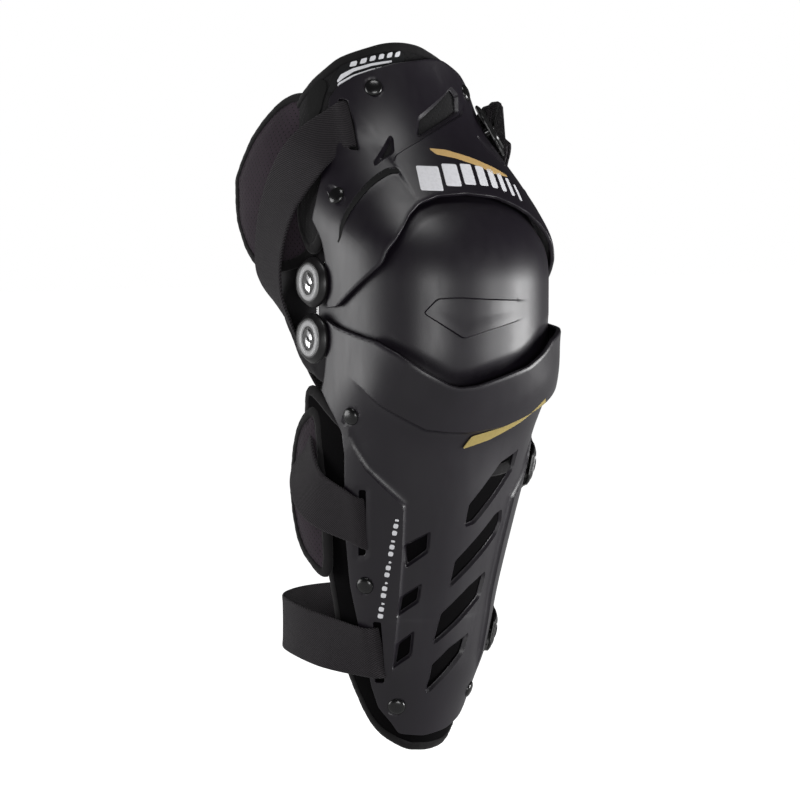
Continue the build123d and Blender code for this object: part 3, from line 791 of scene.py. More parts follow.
def bevelled_opening(patch, outline):
    """Opening with a sloped border inside its outline."""
    patch.cut(lambda p: inside(outline, p), drop=False)
    patch.cut(lambda p: CHAMFER - inside(outline, p))


def opening_slope(p, outline):
    return -VENT_DEPTH * np.clip(inside(outline, p) / CHAMFER, 0, 1)


def seats(patch, form, places):
    """Shallow round seats for rivet heads; returns their outlines."""
    outlines = [circle(form.front(x, z), RIVET_HEAD + SEAT_MARGIN) for x, z in places]
    for outline in outlines:
        patch.cut(lambda p: inside(outline, p), drop=False)
    return outlines


def seat_relief(p, outlines):
    return sum(-SEAT_DEPTH * smooth(inside(outline, p), 0, 0.5) for outline in outlines)


def lip(p, edge, width, middle, ends):
    """Band beside an edge line that turns inwards: deeper in the middle of the shell than at its ears."""
    depth = middle + (ends - middle) * smooth(np.abs(p[:, 0]), 55, 105)
    return -depth * np.clip(1 - away(edge, p) / width, 0, 1)


def tapered_band(line, narrow, wide):
    """Outline of a band on the right of a line that widens along it."""
    line = smooth_line(line)
    along = unit(np.gradient(line, axis=0))
    aside = np.column_stack([along[:, 1], -along[:, 0]])
    width = np.linspace(narrow, wide, len(line))[:, None]
    return [tuple(point) for point in np.concatenate([line + aside * 0.15, (line + aside * width)[::-1]])]


def thigh_shell():
    leg = THIGH_LEG[::-1]
    right = THIGH_REAR[1:] + ear(PIVOT_Z, EAR_RADIUS, 30, -90) + THIGH_LEG
    left = leg + ear(PIVOT_Z, EAR_RADIUS, -90, 30) + THIGH_REAR[::-1]
    outline = closed_outline(THIGH, THIGH_TOP, right, THIGH_ARCH[::-1], left)
    arch = np.array(THIGH.sides(leg[::-1], -1) + THIGH.fronts(THIGH_ARCH) + THIGH.sides(leg, 1))
    vents = [soften(THIGH.fronts(vent), 1.8) for vent in THIGH_VENTS]
    vents.append(soften(THIGH.fronts(mirrored(THIGH_VENTS[1])[::-1]), 1.8))
    slot = soften(THIGH.fronts(THIGH_SLOT), 2)
    groove = np.array(THIGH.fronts(THIGH_GROOVE))
    ridge = np.array(THIGH.fronts(THIGH_RIDGE))
    patch = Patch(*THIGH_BOX, GRID)
    patch.cut(lambda p: inside(outline, p))
    patch.cut(lambda p: away(arch, p) - ARCH_LIP, drop=False)
    for vent in vents:
        bevelled_opening(patch, vent)
    patch.cut(lambda p: -inside(slot, p))
    patch.cut(lambda p: line_distance(groove, p)[0], drop=False)
    for level in (-RIDGE_RAMP / 2, RIDGE_RAMP / 2):
        patch.cut(lambda p: line_distance(ridge, p)[0] - level, drop=False)
    rings = seats(patch, THIGH, THIGH_RIVETS)

    def relief(p):
        height = lip(p, arch, ARCH_LIP, LIP_DEPTH, 0.4) + seat_relief(p, rings)
        for vent in vents:
            height = height + opening_slope(p, vent)
        return height - ledge(p, ridge, **RIDGE_SHAPE) + overhang(p, groove, **GROOVE_SHAPE)

    return moulded("thigh_shell_skin", THIGH, patch, relief), relief


def shin_shell():
    left = SHIN_REAR[::-1] + ear(-PIVOT_Z, EAR_RADIUS, -55, 90) + COLLAR_LEFT
    right = COLLAR_RIGHT + ear(-PIVOT_Z, EAR_RADIUS, 90, -55) + SHIN_REAR[:-1]
    outline = closed_outline(SHIN, COLLAR, right, SHIN_TOE[::-1], left)
    collar = np.array(SHIN.sides(COLLAR_LEFT, -1) + SHIN.fronts(COLLAR) + SHIN.sides(COLLAR_RIGHT, 1))
    step = np.array(SHIN.fronts(COLLAR_STEP))
    panel = [np.array(SHIN.fronts(PANEL_EDGE)), np.array(SHIN.fronts(mirrored(PANEL_EDGE))[::-1])]
    vents = [soften(SHIN.fronts(vent), 2.2) for vent in SHIN_SMALL_VENTS + SHIN_SLASH_VENTS]
    slots = [soften(SHIN.fronts(slot), 1.5) for slot in (CALF_SLOT, ANKLE_SLOT)]
    patch = Patch(*SHIN_BOX, GRID)
    patch.cut(lambda p: inside(outline, p))
    patch.cut(lambda p: away(collar, p) - COLLAR_LIP, drop=False)
    for line in [step] + panel:
        patch.cut(lambda p: line_distance(line, p)[0], drop=False)
    for vent in vents:
        bevelled_opening(patch, vent)
    for slot in slots:
        patch.cut(lambda p: -inside(slot, p))
        patch.cut(lambda p: inside(slot, p) + SLOT_RAMP, drop=False)
    rings = seats(patch, SHIN, SHIN_RIVETS)

    def relief(p):
        height = lip(p, collar, COLLAR_LIP, LIP_DEPTH, LIP_DEPTH) + seat_relief(p, rings)
        flare = np.clip(1 - away(collar, p) / FLARE_WIDTH, 0, 1) ** 2
        height = height + FLARE_RISE * flare * (1 - smooth(np.abs(p[:, 0]), 50, 105))
        for vent in vents:
            height = height + opening_slope(p, vent)
        height = height + overhang(p, step, **STEP_SHAPE)
        for line, ends in zip(panel, ((0.1, 0.12), (0.12, 0.1))):
            height = height + overhang(p, line[::-1], ends=ends, **PANEL_SHAPE)
        for slot in slots:
            height = height - SLOT_DEPTH * np.clip(1 + inside(slot, p) / SLOT_RAMP, 0, 1)
        return height

    return moulded("shin_shell_skin", SHIN, patch, relief), relief


EMBLEM = [(-50.2, 0.5), (-42.2, 10.5), (-27.8, 11), (-5.5, 9.5), (26, 8), (34, 1.5), (26, -4.5),
          (-5.5, -11.5), (-25.5, -17)]
EMBLEM_RISE = 2.1
EMBLEM_RAMP = 0.9
EMBLEM_DISH = 0.4
HOLLOW_DEPTH = 1.7        # hollow along the edges of both shells, which keeps the gap under them dark
CUP_EAR_RADIUS = 13
CUP_TOP = 84.0
CUP_FOOT = -88.0
CUP_EDGE = [(-34, CUP_TOP), (34, CUP_TOP)], [(34, CUP_FOOT), (-34, CUP_FOOT)]


def knee_cup():
    upper = ear(PIVOT_Z, CUP_EAR_RADIUS, 120, -70)
    lower = ear(-PIVOT_Z, CUP_EAR_RADIUS, 70, -120)
    side = [(-44, 78), (-18, 42)] + upper + lower + [(-20, -44), (-60, -80)]
    outline = closed_outline(CUP, CUP_EDGE[0], side, CUP_EDGE[1], side[::-1], 6)
    emblem = soften(CUP.fronts(EMBLEM), 2.5)
    arch = np.array(CUP.fronts(THIGH_ARCH))
    collar = np.array(CUP.fronts(COLLAR))
    patch = Patch(*CUP_BOX, GRID)
    patch.cut(lambda p: inside(outline, p))
    for level in (0, EMBLEM_RAMP):
        patch.cut(lambda p: inside(emblem, p) - level, drop=False)

    def relief(p):
        fade = 1 - smooth(p[:, 0], -8, 30)
        rise = EMBLEM_RISE * smooth(inside(emblem, p), 0, EMBLEM_RAMP)
        dish = EMBLEM_DISH * smooth(inside(emblem, p), 3, 12)
        edge = np.minimum(away(arch, p), away(collar, p))
        return fade * (rise - dish) - HOLLOW_DEPTH * (1 - smooth(edge, 3, 13))

    return moulded("knee_cup_skin", CUP, patch, relief)


thigh_skin, thigh_relief = thigh_shell()
shin_skin, shin_relief = shin_shell()
for skin, node, material, body in ((thigh_skin, "thigh_shell", "shell_black", "thigh"),
                                   (shin_skin, "shin_shell", "shell_black", "shin"),
                                   (knee_cup(), "knee_cup", "cup_black", "knee")):
    sharpen(skin)
    dress(skin, material, body)
    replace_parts(skin, node)


# ---------------------------------------------------------------- hardware
TURNED = np.linspace(0, tau, 48, endpoint=False)


def revolved(name, axes, section):
    """Ring from a closed (radius, height) section turned about the outward axis."""
    return hoop(name, [oriented(axes, [(r * cos(t), r * sin(t), h) for r, h in section]) for t in TURNED])


def dome(name, axes, profile):
    """Closed turned piece from (radius, height) steps, bottom first."""
    return lofted(name, [oriented(axes, [(r * cos(t), r * sin(t), h) for t in TURNED]) for r, h in profile])


RIVET_LIFT = 0.9
RIVET_PROFILE = [(4, -2.0), (6.1, -1.6), (6.2, -0.9), (6.1, -0.35), (5.7, 0.25), (5.1, 0.75), (4.2, 1.2),
                 (3.1, 1.5), (1.8, 1.7), (0.5, 1.78)]


def rivets(name, form, places, relief, body):
    heads = []
    for place in places:
        level = relief(np.array([form.front(*place)]))[0] + RIVET_LIFT
        point, across, up, normal = place_on(form, *place)
        heads.append(dome("head", (point + normal * level, across, up, normal), RIVET_PROFILE))
    return sharpen(dress(join(name + "_heads", heads), "rivet_black", body), 50)


for name, form, places, relief, body in (("thigh_rivets", THIGH, THIGH_RIVETS, thigh_relief, "thigh"),
                                         ("shin_rivets", SHIN, SHIN_RIVETS, shin_relief, "shin")):
    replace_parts(rivets(name, form, places, relief, body), name)

CAP_CORNERS = 6
CAP_REACH = 19.4
CAP_ROUND = 9.5
CAP_FRONT = 1.2           # how much further the caps reach forwards than rearwards
CAP_PROFILE = [(0.6, -0.6), (0, 0.2), (0, 1.6), (0.35, 2.2), (2.2, 4.3), (2.7, 4.8), (3.4, 5.2),
               (4.2, 5.35), (5.4, 5.35), (6.6, 5.1), (9, 5.0)]
BADGE_LEVEL = 5.1
BADGE_SECTION = [(8.4, -0.4), (8.4, 0.55), (8.9, 0.95), (9.6, 1.1), (11.3, 1.1), (12.0, 0.9), (12.4, 0.4),
                 (12.4, -0.4)]
BLADE_PROFILE = [(0, -0.3), (0, 0.35), (1.5, 0.95)]
BLADES = [[(-1.6, 7.2), (3.4, 4.2), (4.9, -0.4), (2.6, -1.6), (-2.4, 2.6)],
          [(1.4, -7.0), (-3.2, -5.0), (-5.0, -0.2), (-2.8, 1.2), (2.6, -2.8)]]


def side_axes(side, z, x=EAR_FACE_X):
    """Axes on one side of the knee that face outwards along X."""
    return [np.array(v, float) for v in ((side * x, 0, z), (0, side, 0), (0, 0, 1), (side, 0, 0))]


def hinge_cap(side, end, z):
    word = "left" if side < 0 else "right"
    body = "thigh" if end == "upper" else "shin"
    turns = [pi / 6 + tau * k / CAP_CORNERS for k in range(CAP_CORNERS)]
    corners = [(CAP_REACH * cos(t), CAP_REACH * sin(t)) for t in turns]
    outline = soften([(y * (CAP_FRONT if y < 0 else 1), z) for y, z in corners], CAP_ROUND)
    rings = [oriented(side_axes(side, z), ring) for ring in outline_rings(outline, CAP_PROFILE)]
    cap = sharpen(lofted(f"{end}_cap_{word}_shell", rings), 40)
    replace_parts(dress(cap, "cap_black", body), f"{end}_cap_{word}")
    face = side_axes(side, z, EAR_FACE_X + BADGE_LEVEL)
    ring = sharpen(revolved(f"{end}_badge_{word}_ring", face, BADGE_SECTION), 50)
    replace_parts(dress(ring, "ring_grey", body), f"{end}_badge_{word}")
    blades = []
    for blade in BLADES:
        rings = outline_rings(soften(blade, 1.2), BLADE_PROFILE)
        blades.append(lofted("blade", [oriented(face, ring) for ring in rings]))
    dress(sharpen(join(f"{end}_badge_{word}_mark", blades), 25), "badge_silver", body)


for side in (-1, 1):
    for end, z in (("upper", PIVOT_Z), ("lower", -PIVOT_Z)):
        hinge_cap(side, end, z)


# ---------------------------------------------------------------- soft edges and sheets
def smooth_loop(points, step=2.0):
    """Even points round a smooth closed curve through the given points."""
    p = np.array(points, float)
    count, dense = len(p), []
    for i in range(count):
        dense += curve_piece(p[i - 1], p[i], p[(i + 1) % count], p[(i + 2) % count], 30)
    return resampled(np.array(dense), step)


def resampled(loop, step):
    """Points at even distances round a closed loop."""
    closed = np.concatenate([loop, loop[:1]])
    run = np.concatenate([[0], np.cumsum(np.hypot(*np.diff(closed, axis=0).T))])
    places = np.arange(0, run[-1], run[-1] / round(run[-1] / step))
    return np.stack([np.interp(places, run, closed[:, k]) for k in (0, 1)], 1)


TAPE_REACH = 3.6
TAPE_SECTION = [(-1.0, 1.0), (-0.55, 1.08), (0.0, 1.05), (0.55, 0.8), (0.85, 0.42), (0.95, 0.0),
                (0.85, -0.42), (0.55, -0.8), (0.0, -1.05), (-0.55, -1.08), (-1.0, -1.0), (-1.04, 0.0)]


def binding(name, form, loop, middle, half, body):
    """Sewn tape wrapped round the edge of a sheet; middle and half are heights on the form."""
    loop = resampled(np.asarray(loop), 2.2)
    normal = form.normals(loop)
    centre = form.place(loop) + normal * middle
    along = unit(np.roll(centre, -1, 0) - np.roll(centre, 1, 0))
    x, y = loop[:, 0], loop[:, 1]
    area = np.sum(x * np.roll(y, -1) - np.roll(x, -1) * y)
    out = np.cross(along, normal) * (1 if area > 0 else -1)
    rings = []
    for i in range(len(loop)):
        pucker = 1 + 0.05 * sin(i * 2.1) + 0.04 * sin(i * 0.9)
        aside, up = out[i] * TAPE_REACH, normal[i] * half * pucker
        rings.append(np.array([centre[i] + aside * a + up * b for a, b in TAPE_SECTION]))
    return dress(hoop(name, rings if area > 0 else rings[::-1]), "binding_black", body)


def pillow(p, seams, reach):
    """0 on a seam and 1 away from it."""
    gap = np.full(len(p), 30.0)
    for seam in seams:
        gap = np.minimum(gap, away(seam, p))
    return 1 - (1 - np.clip(gap / reach, 0, 1)) ** 2


def ripples(form, p, scale, size):
    """Small uneven waves for soft surfaces, the same on every run."""
    points = form.place(p)
    return size * np.array([noise.noise(Vector(q) * scale) for q in points])


def sheet_uv(made, patch):
    """Lay a sheet's two faces out flat, with its rim at the origin."""
    extra = len(made.data.vertices) - 2 * len(patch.points)
    set_uv(made, np.concatenate([patch.points, patch.points, np.zeros((extra, 2))]) / 10)


def lining(name, form, loop, seams, material, body):
    """Padded lining on a form: its inner side swells between sewn seams."""
    patch = sheet_patch(loop, 2.2)

    def thickness(p):
        edge = 1 - (1 - np.clip(inside(loop, p) / LINER_ROUND, 0, 1)) ** 2
        swell = LINER_SWELL * np.minimum(edge, pillow(p, seams, SEAM_REACH))
        return LINER_WALL - LINER_SWELL + swell + ripples(form, p, 0.055, 0.5)

    def relief(p):
        drop = EDGE_DROP * (1 - np.clip(inside(loop, p) / 6, 0, 1)) ** 2
        return ripples(form, p, 0.09, 0.35) - drop

    made = moulded(name, form, patch, relief, wall=thickness, edge=0.8, lift=LINER_LEVEL)
    sheet_uv(made, patch)
    return dress(made, material, body)


LINER_LEVEL = -3.7
LINER_WALL = 6.6
LINER_SWELL = 2.6         # how far the lining bulges between its seams
LINER_ROUND = 7           # band at the lining's edge where the bulge rises
SEAM_REACH = 9
EDGE_DROP = 0.7           # how far the outer side sinks under the edge tape
LINER_TAPE = 2.3, 2.6     # depth of the tape's middle below the lining's level, and its half height
LINER_TOP_LEFT = [(63, 138), (48, 153), (33, 163.5)]
LINER_TOP = [(-52, 171), (-38, 177), (-25, 180.5), (-12, 181), (0, 179), (10, 175), (22, 170), (38, 162),
             (52, 150)]
LINER_REAR = [(26, 147), (46, 140), (59, 128), (52, 118), (40, 106), (31, 90), (27, 72), (25, 54), (17, 42),
              (5, 44)]
LINER_FOOT = [(-12, 66), (-44, 93)]
thigh_loop = smooth_loop(THIGH.sides(LINER_TOP_LEFT, -1) + THIGH.fronts(LINER_TOP)
                         + THIGH.sides(LINER_REAR + LINER_FOOT, 1) + THIGH.fronts([(0, 99)])
                         + THIGH.sides(LINER_FOOT[::-1] + LINER_REAR[:1:-1], -1))
SHIN_LINER = [(16, -56), (18, -96), (12, -150), (12, -200), (13, -245), (11, -276), (3, -297), (-10, -309)]
SHIN_LINER_HEAD = [(-22, -76), (-56, -108)]
shin_loop = smooth_loop(SHIN.sides(SHIN_LINER, -1) + SHIN.fronts([(-8, -311), (8, -311)])
                        + SHIN.sides(SHIN_LINER[::-1] + SHIN_LINER_HEAD, 1)
                        + SHIN.sides(SHIN_LINER_HEAD[::-1], -1))


def lines_at(places, low, high):
    """Upright seams."""
    return [np.array([(u, low), (u, high)]) for u in places]


thigh_seams = lines_at((-78, -26, 26, 78), 60, 190)
shin_seams = lines_at((-72, -24, 24, 72), -320, -60)
shin_seams += [np.array([(-120, z), (120, z)]) for z in (-160, -235)]
thigh_lining = lining("thigh_lining", THIGH, thigh_loop, thigh_seams, "foam_black", "thigh")
# The shin lining's darker material is painted shade for the inside of the vents.
shin_lining = lining("shin_lining", SHIN, shin_loop, shin_seams, "lining_deep", "shin")
for piece, node in ((thigh_lining, "thigh_liner"), (shin_lining, "shin_liner")):
    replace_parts(piece, node)
binding("thigh_lining_tape", THIGH, thigh_loop, LINER_LEVEL - LINER_TAPE[0], LINER_TAPE[1], "thigh")
binding("shin_lining_tape", SHIN, shin_loop, LINER_LEVEL - LINER_TAPE[0], LINER_TAPE[1], "shin")


class SideSheet:
    """Free curved sheet beside the leg: the domain is (y * side, z).

    A row is z and then x, y of three points on the left side; x between them is a parabola over y.
    """

    def __init__(self, rows, side):
        self.rows, self.side = np.array(sorted(rows), float), side

    def place(self, p):
        y, z = p[:, 0] * self.side, p[:, 1]
        x0, y0, x1, y1, x2, y2 = (np.interp(z, self.rows[:, 0], self.rows[:, k]) for k in range(1, 7))
        x = (x0 * (y - y1) * (y - y2) / ((y0 - y1) * (y0 - y2))
             + x1 * (y - y0) * (y - y2) / ((y1 - y0) * (y1 - y2))
             + x2 * (y - y0) * (y - y1) / ((y2 - y0) * (y2 - y1)))
        return np.stack([-x * self.side, y, z], 1)

    normals = Form.normals


THIGH_FLAP = [(24, -74, 8, -84, 50, -82, 108), (60, -72, 4, -86, 50, -87, 112),
              (90, -69, 10, -85, 55, -88, 112), (120, -62, 40, -77, 72, -80, 108),
              (152, -57, 52, -65, 76, -70, 98)]
THIGH_FLAP_LEFT = [(58, 147), (74, 142), (90, 122), (100, 98), (103, 76), (100, 56), (90, 38), (72, 28),
                   (42, 29), (20, 38), (8, 56), (10, 82), (28, 112), (44, 138)]
THIGH_FLAP_RIGHT = [(58, 142), (67, 130), (69, 110), (66, 84), (60, 60), (46, 44), (26, 40), (12, 52),
                    (12, 74), (26, 100), (42, 126)]
CALF_FLAP = [(-190, -75, 10, -76, 25, -74, 45), (-130, -80, 12, -81, 28, -79, 45),
             (-70, -82, 8, -82, 24, -80, 45)]
CALF_FLAP_EDGE = [(4, -74), (22, -76), (36, -96), (43, -130), (38, -158), (24, -174), (4, -180), (2, -130)]


FLAP_WALL = 3.8
FLAP_SWELL = 0.5
STITCH_INSET = 5.5        # from a flap's edge to its stitch line
STITCH_DEPTH = 0.5


def flap(name, rows, edge, side, body):
    """Perforated fabric flap with a taped edge and a stitch line inside it."""
    sheet = SideSheet(rows, side)
    loop = smooth_loop([(y * side, z) for y, z in edge])
    patch = sheet_patch(loop, 2.0)

    def relief(p):
        gap = inside(loop, p)
        stitch_line = np.abs(gap - STITCH_INSET) < 0.8
        return FLAP_SWELL * smooth(gap, 4, 14) - STITCH_DEPTH * stitch_line + ripples(sheet, p, 0.05, 0.6)

    made = moulded(name + "_pad", sheet, patch, relief, wall=FLAP_WALL, edge=0.8, lift=-0.6)
    sheet_uv(made, patch)
    dress(made, "mesh_grey", body)
    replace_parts(made, name)
    binding(name + "_tape", sheet, loop, -2.5, 2.5, body)


flap("thigh_flap_left", THIGH_FLAP, THIGH_FLAP_LEFT, -1, "thigh")
flap("thigh_flap_right", THIGH_FLAP, THIGH_FLAP_RIGHT, 1, "thigh")
flap("calf_flap_left", CALF_FLAP, CALF_FLAP_EDGE, -1, "shin")
flap("calf_flap_right", CALF_FLAP, CALF_FLAP_EDGE, 1, "shin")


# ---------------------------------------------------------------- straps
HALF_STRAP = STRAP_WIDTH / 2
STRAP_BOW = 0.35          # how far webbing arches across its width, at most
LEAD_POINTS = [(-2.5, -3.2), (-0.5, -0.8), (3, 1.6), (11, 2.6)]    # (rearwards, outwards) from a slot
LEAD_FADE = (6, 55)       # distances from a slot between which a strap turns out of the slot's direction
STITCH_HALF = 1.7
STITCH_ROW = 30
STITCH_COUNT = 7


def strap_section():
    """Cross-section of woven webbing: flat, with slightly thicker selvages."""
    across = [-0.985, -0.95, -0.88, -0.7, -0.45, -0.15, 0.15, 0.45, 0.7, 0.88, 0.95, 0.985]
    swell = [0.75, 1.15, 1.2, 1.0, 1.0, 1.0, 1.0, 1.0, 1.0, 1.2, 1.15, 0.75]
    top = [(a * HALF_STRAP, STRAP_WALL / 2 * s) for a, s in zip(across, swell)]
    return [(-HALF_STRAP, 0)] + top + [(HALF_STRAP, 0)] + [(a, -h) for a, h in top[::-1]]


def webbing(name, path, centre_y, lead=None):
    """Band along smooth points, lying flat towards a line up the leg at centre_y.

    lead is the direction of the slot that the band comes out of; its first part is skewed to fit it.
    """
    points, run = path
    along = unit(np.gradient(points, axis=0))
    out = np.column_stack([points[:, 0], points[:, 1] - centre_y, np.zeros(len(points))])
    across = unit(np.cross(along, out))
    if lead is not None:
        share = (1 - smooth(run, *LEAD_FADE))[:, None]
        lead = lead * np.sign(across[0] @ lead)
        across = unit(across * (1 - share) + lead * share)
    flat = unit(np.cross(across, along))
    section = strap_section()
    rings, uv = [], []
    for i, point in enumerate(points):
        bow = STRAP_BOW * sin(run[i] * 0.045)
        arch = [(a, h + bow * (1 - (a / HALF_STRAP) ** 2)) for a, h in section]
        rings.append(np.array([point + across[i] * a + flat[i] * h for a, h in arch]))
        uv += [(a / 10, run[i] / 10) for a, _ in section]
    made = lofted(name, rings)
    set_uv(made, uv)
    return sharpen(dress(made, "webbing_black"), 60)


def path_part(path, low, high):
    points, run = path
    keep = (run >= low - 0.1) & (run <= high + 0.1)
    return points[keep], run[keep]


def slot_lead(form, place, drop):
    """Points that bring a strap out of its slot, through the shell and rearwards; drop is its slope."""
    point, across, _, normal = place_on(form, *place)
    back = unit(-across + np.array([0, 0, drop]))
    return [point + back * along + normal * out for along, out in LEAD_POINTS]


def slot_direction(form, slot):
    """Direction along a slot, from near its lower end to its upper end, in the shared frame."""
    ends = form.place(np.array([form.front(*slot[0]), form.front(*slot[-2])]))
    return unit(ends[0] - ends[1])


def thread(middle, across, along, flat):
    """One raised stitch across a strap, tapered to both ends."""
    rings = []
    for s in np.linspace(-1, 1, 7):
        centre = middle + across * s * STITCH_HALF + flat * (STRAP_WALL / 2 + 0.25 - 0.35 * s * s)
        size = 0.32 * (1 - 0.5 * s ** 4)
        turns = np.linspace(0, tau, 6, endpoint=False)
        rings.append(np.array([centre + along * cos(t) * size + flat * sin(t) * size for t in turns]))
    return lofted("thread", rings)


def stitches(name, path, centre_y, places, body):
    """Rows of raised thread across a strap at given distances along it."""
    points, run = path
    threads = []
    for place in places:
        i = min(max(int(np.argmin(np.abs(run - place))), 1), len(points) - 2)
        along = unit(points[i + 1] - points[i - 1])
        across = unit(np.cross(along, [points[i][0], points[i][1] - centre_y, 0]))
        flat = np.cross(across, along)
        for aside in np.linspace(-STITCH_ROW / 2, STITCH_ROW / 2, STITCH_COUNT):
            threads.append(thread(points[i] + across * aside, across, along, flat))
    return dress(join(name, threads), "thread_grey", body)


THIGH_STRAP = [(-83, 14, 106), (-92, 32, 79), (-95, 44, 46), (-90, 51, 14), (-64, 62, -17), (-33, 80, -42),
               (4, 98, -64), (44, 92, -84), (76, 68, -98), (88, 44, -106)]
CALF_STRAP = [(-86, 2, -127), (-84, 20, -106), (-66, 38, -82), (-40, 52, -56), (-16, 68, -28), (12, 78, 4),
              (50, 86, 38), (82, 80, 66), (96, 60, 88), (90, 40, 108)]
ANKLE_STRAP = [(-70, 16, -232), (-76, 46, -227), (-66, 76, -226), (-38, 96, -226), (0, 103, -227),
               (38, 96, -228), (66, 76, -229), (76, 50, -231), (75, 36, -232)]


def crossing_strap(name, points, lead, centre_y, first, second, middle, spans):
    """Strap across the knee in two pieces that meet behind the knee."""
    path = smooth_path(points)
    run = path[1]
    split = run[int(np.argmin(np.linalg.norm(path[0] - np.array(middle), axis=1)))]
    upper = webbing(name + "_a", path_part(path, 0, split), centre_y, lead)
    lower = webbing(name + "_b", path_part(path, split, run[-1]), centre_y)
    for piece, pair, (start, end) in zip((upper, lower), (first, second), spans):
        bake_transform(piece)
    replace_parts(upper, name)
    return path


thigh_path = crossing_strap(
    "thigh_strap", slot_lead(THIGH, (-56, 127), -0.75) + THIGH_STRAP, slot_direction(THIGH, THIGH_SLOT), 44,
    ("thigh", "knee"), ("knee", "shin"), (-50, 77, -32),
    (((-86, 20, 98), (-80, 58, -4)), ((-20, 92, -52), (66, 78, -94))))
calf_path = crossing_strap(
    "calf_strap", slot_lead(SHIN, (-64.5, -145), 0.6) + CALF_STRAP, slot_direction(SHIN, CALF_SLOT), 20,
    ("shin", "knee"), ("knee", "thigh"), (-16, 68, -28),
    (((-86, 12, -114), (-30, 60, -44)), ((0, 74, -8), (88, 72, 76))))
ankle_path = smooth_path(slot_lead(SHIN, (-45.5, -238), 0.15) + ANKLE_STRAP)
ankle_band = webbing("ankle_strap_band", ankle_path, 30, slot_direction(SHIN, ANKLE_SLOT))
dress(ankle_band, "webbing_black", "shin")
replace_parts(ankle_band, "ankle_strap")


# ---------------------------------------------------------------- clips
class Plate:
    """Slightly bent plate over a point on a form: the domain is (across, up)."""

    def __init__(self, form, place, lift, bend):
        self.axes, self.lift, self.bend = place_on(form, *place), lift, bend

    def place(self, p):
        height = self.lift - self.bend * p[:, 0] ** 2
        return oriented(self.axes, np.column_stack([p, height]))

    normals = Form.normals


CLIP_OUTLINE = [(-13, -9), (-13, 9), (-8, 14), (4, 16), (12, 20), (33, 20), (36, 17), (36, -17), (33, -20),
                (12, -20), (4, -16), (-8, -14)]
CLIP_RIDGE = [(-9, -7), (-9, 7), (-5, 11), (6, 12.5), (13, 16), (20, 16), (20, -16), (13, -16), (6, -12.5),
              (-5, -11)]
STRAP_OPENING = [(24.5, -18), (29, -18), (29, 18), (24.5, 18)]
KEYHOLE = [(-3.2, -1.5), (-2.4, -2.8), (0, -3.3), (3.6, -3), (6, -6), (9.6, -6.4), (13.4, -4.4), (14.2, 0),
           (13.4, 4.4), (9.6, 6.4), (6, 6), (3.6, 3), (0, 3.3), (-2.4, 2.8), (-3.2, 1.5)]


CLIP_WALL = 2.6
CLIP_RAMP = 0.7
RIB_PITCH = 3.2
RIB_HEIGHT = 0.7


def clip(name, form, place, body, lift=4.8, bend=0.004):
    """Keyhole clip: a rimmed plate with a strap opening and grip ribs at its rear end."""
    plate = Plate(form, place, lift, bend)
    outline, ridge, opening, keyhole = (soften(o, r) for o, r in ((CLIP_OUTLINE, 2.5), (CLIP_RIDGE, 2.5),
                                                                  (STRAP_OPENING, 1.8), (KEYHOLE, 1.2)))
    patch = Patch((-15, -22), (38, 22), 0.8)
    patch.cut(lambda p: inside(outline, p))
    for level in (0, CLIP_RAMP):
        patch.cut(lambda p: inside(ridge, p) - level, drop=False)
    patch.cut(lambda p: -inside(opening, p))
    patch.cut(lambda p: -inside(keyhole, p))

    def relief(p):
        wave = np.clip(1.6 - np.abs((p[:, 0] - 33) % RIB_PITCH - RIB_PITCH / 2) * 1.6, 0, 1)
        ribs = RIB_HEIGHT * wave * (p[:, 0] > 29.6) * (np.abs(p[:, 1]) < 15)
        rim = smooth(inside(ridge, p), 0, CLIP_RAMP) - 0.6 * smooth(inside(ridge, p), 2.4, 3.4)
        return rim - 1.2 * np.clip(1 - inside(outline, p) / 2.2, 0, 1) + ribs

    made = sharpen(moulded(name + "_hook", plate, patch, relief, wall=CLIP_WALL, edge=0.4))
    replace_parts(dress(made, "clip_black", body), name)
    return plate


def strap_tab(name, plate, path, centre_y, body):
    """Free end of a strap folded round its clip's bar and sewn back on itself."""
    bar = plate.place(np.array([[26.8, 0.0]]))[0]
    normal = plate.axes[3]
    end, before = path[0][-1], path[0][-12]
    ahead = unit(end - before)
    out = unit(np.array([end[0], end[1] - centre_y, 0]))
    gap = STRAP_WALL + 0.35
    across = plate.axes[1]
    between = bar * 0.45 + end * 0.55
    over = [end - ahead * 26 + out * (gap + 0.3), end - ahead * 10 + out * gap, end + out * gap * 0.95,
            between + normal * 2.6 + out * 0.6, bar + across * 6 + normal * 2.7, bar + normal * 2.3,
            bar - across * 2.4 + normal * 0.4, bar - normal * 2.2, bar + across * 6 - normal * 2.4,
            between - out * 0.4, end - out * gap * 0.75, end - ahead * 14 - out * gap]
    loop = smooth_path(over, 1.5)
    fold = webbing(name + "_fold", loop, centre_y)
    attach(fold, body)
    return loop


thigh_plate = clip("thigh_clip", THIGH, (57, 122), "thigh_hook", 5.8, 0.001)
calf_plate = clip("calf_clip", SHIN, (74, -112), "calf_hook")
ankle_plate = clip("ankle_clip", SHIN, (56, -233), "ankle_hook")
for name, plate, path, centre_y, body in (("thigh_clip", thigh_plate, calf_path, 20, "thigh_hook"),
                                          ("calf_clip", calf_plate, thigh_path, 44, "calf_hook"),
                                          ("ankle_clip", ankle_plate, ankle_path, 30, "ankle_hook")):
    loop = strap_tab(name, plate, path, centre_y, body)
    stitches(name + "_thread", loop, centre_y, (9, 12, 24), body)


# ---------------------------------------------------------------- printed marks and label
PRINT_WALL = 0.1


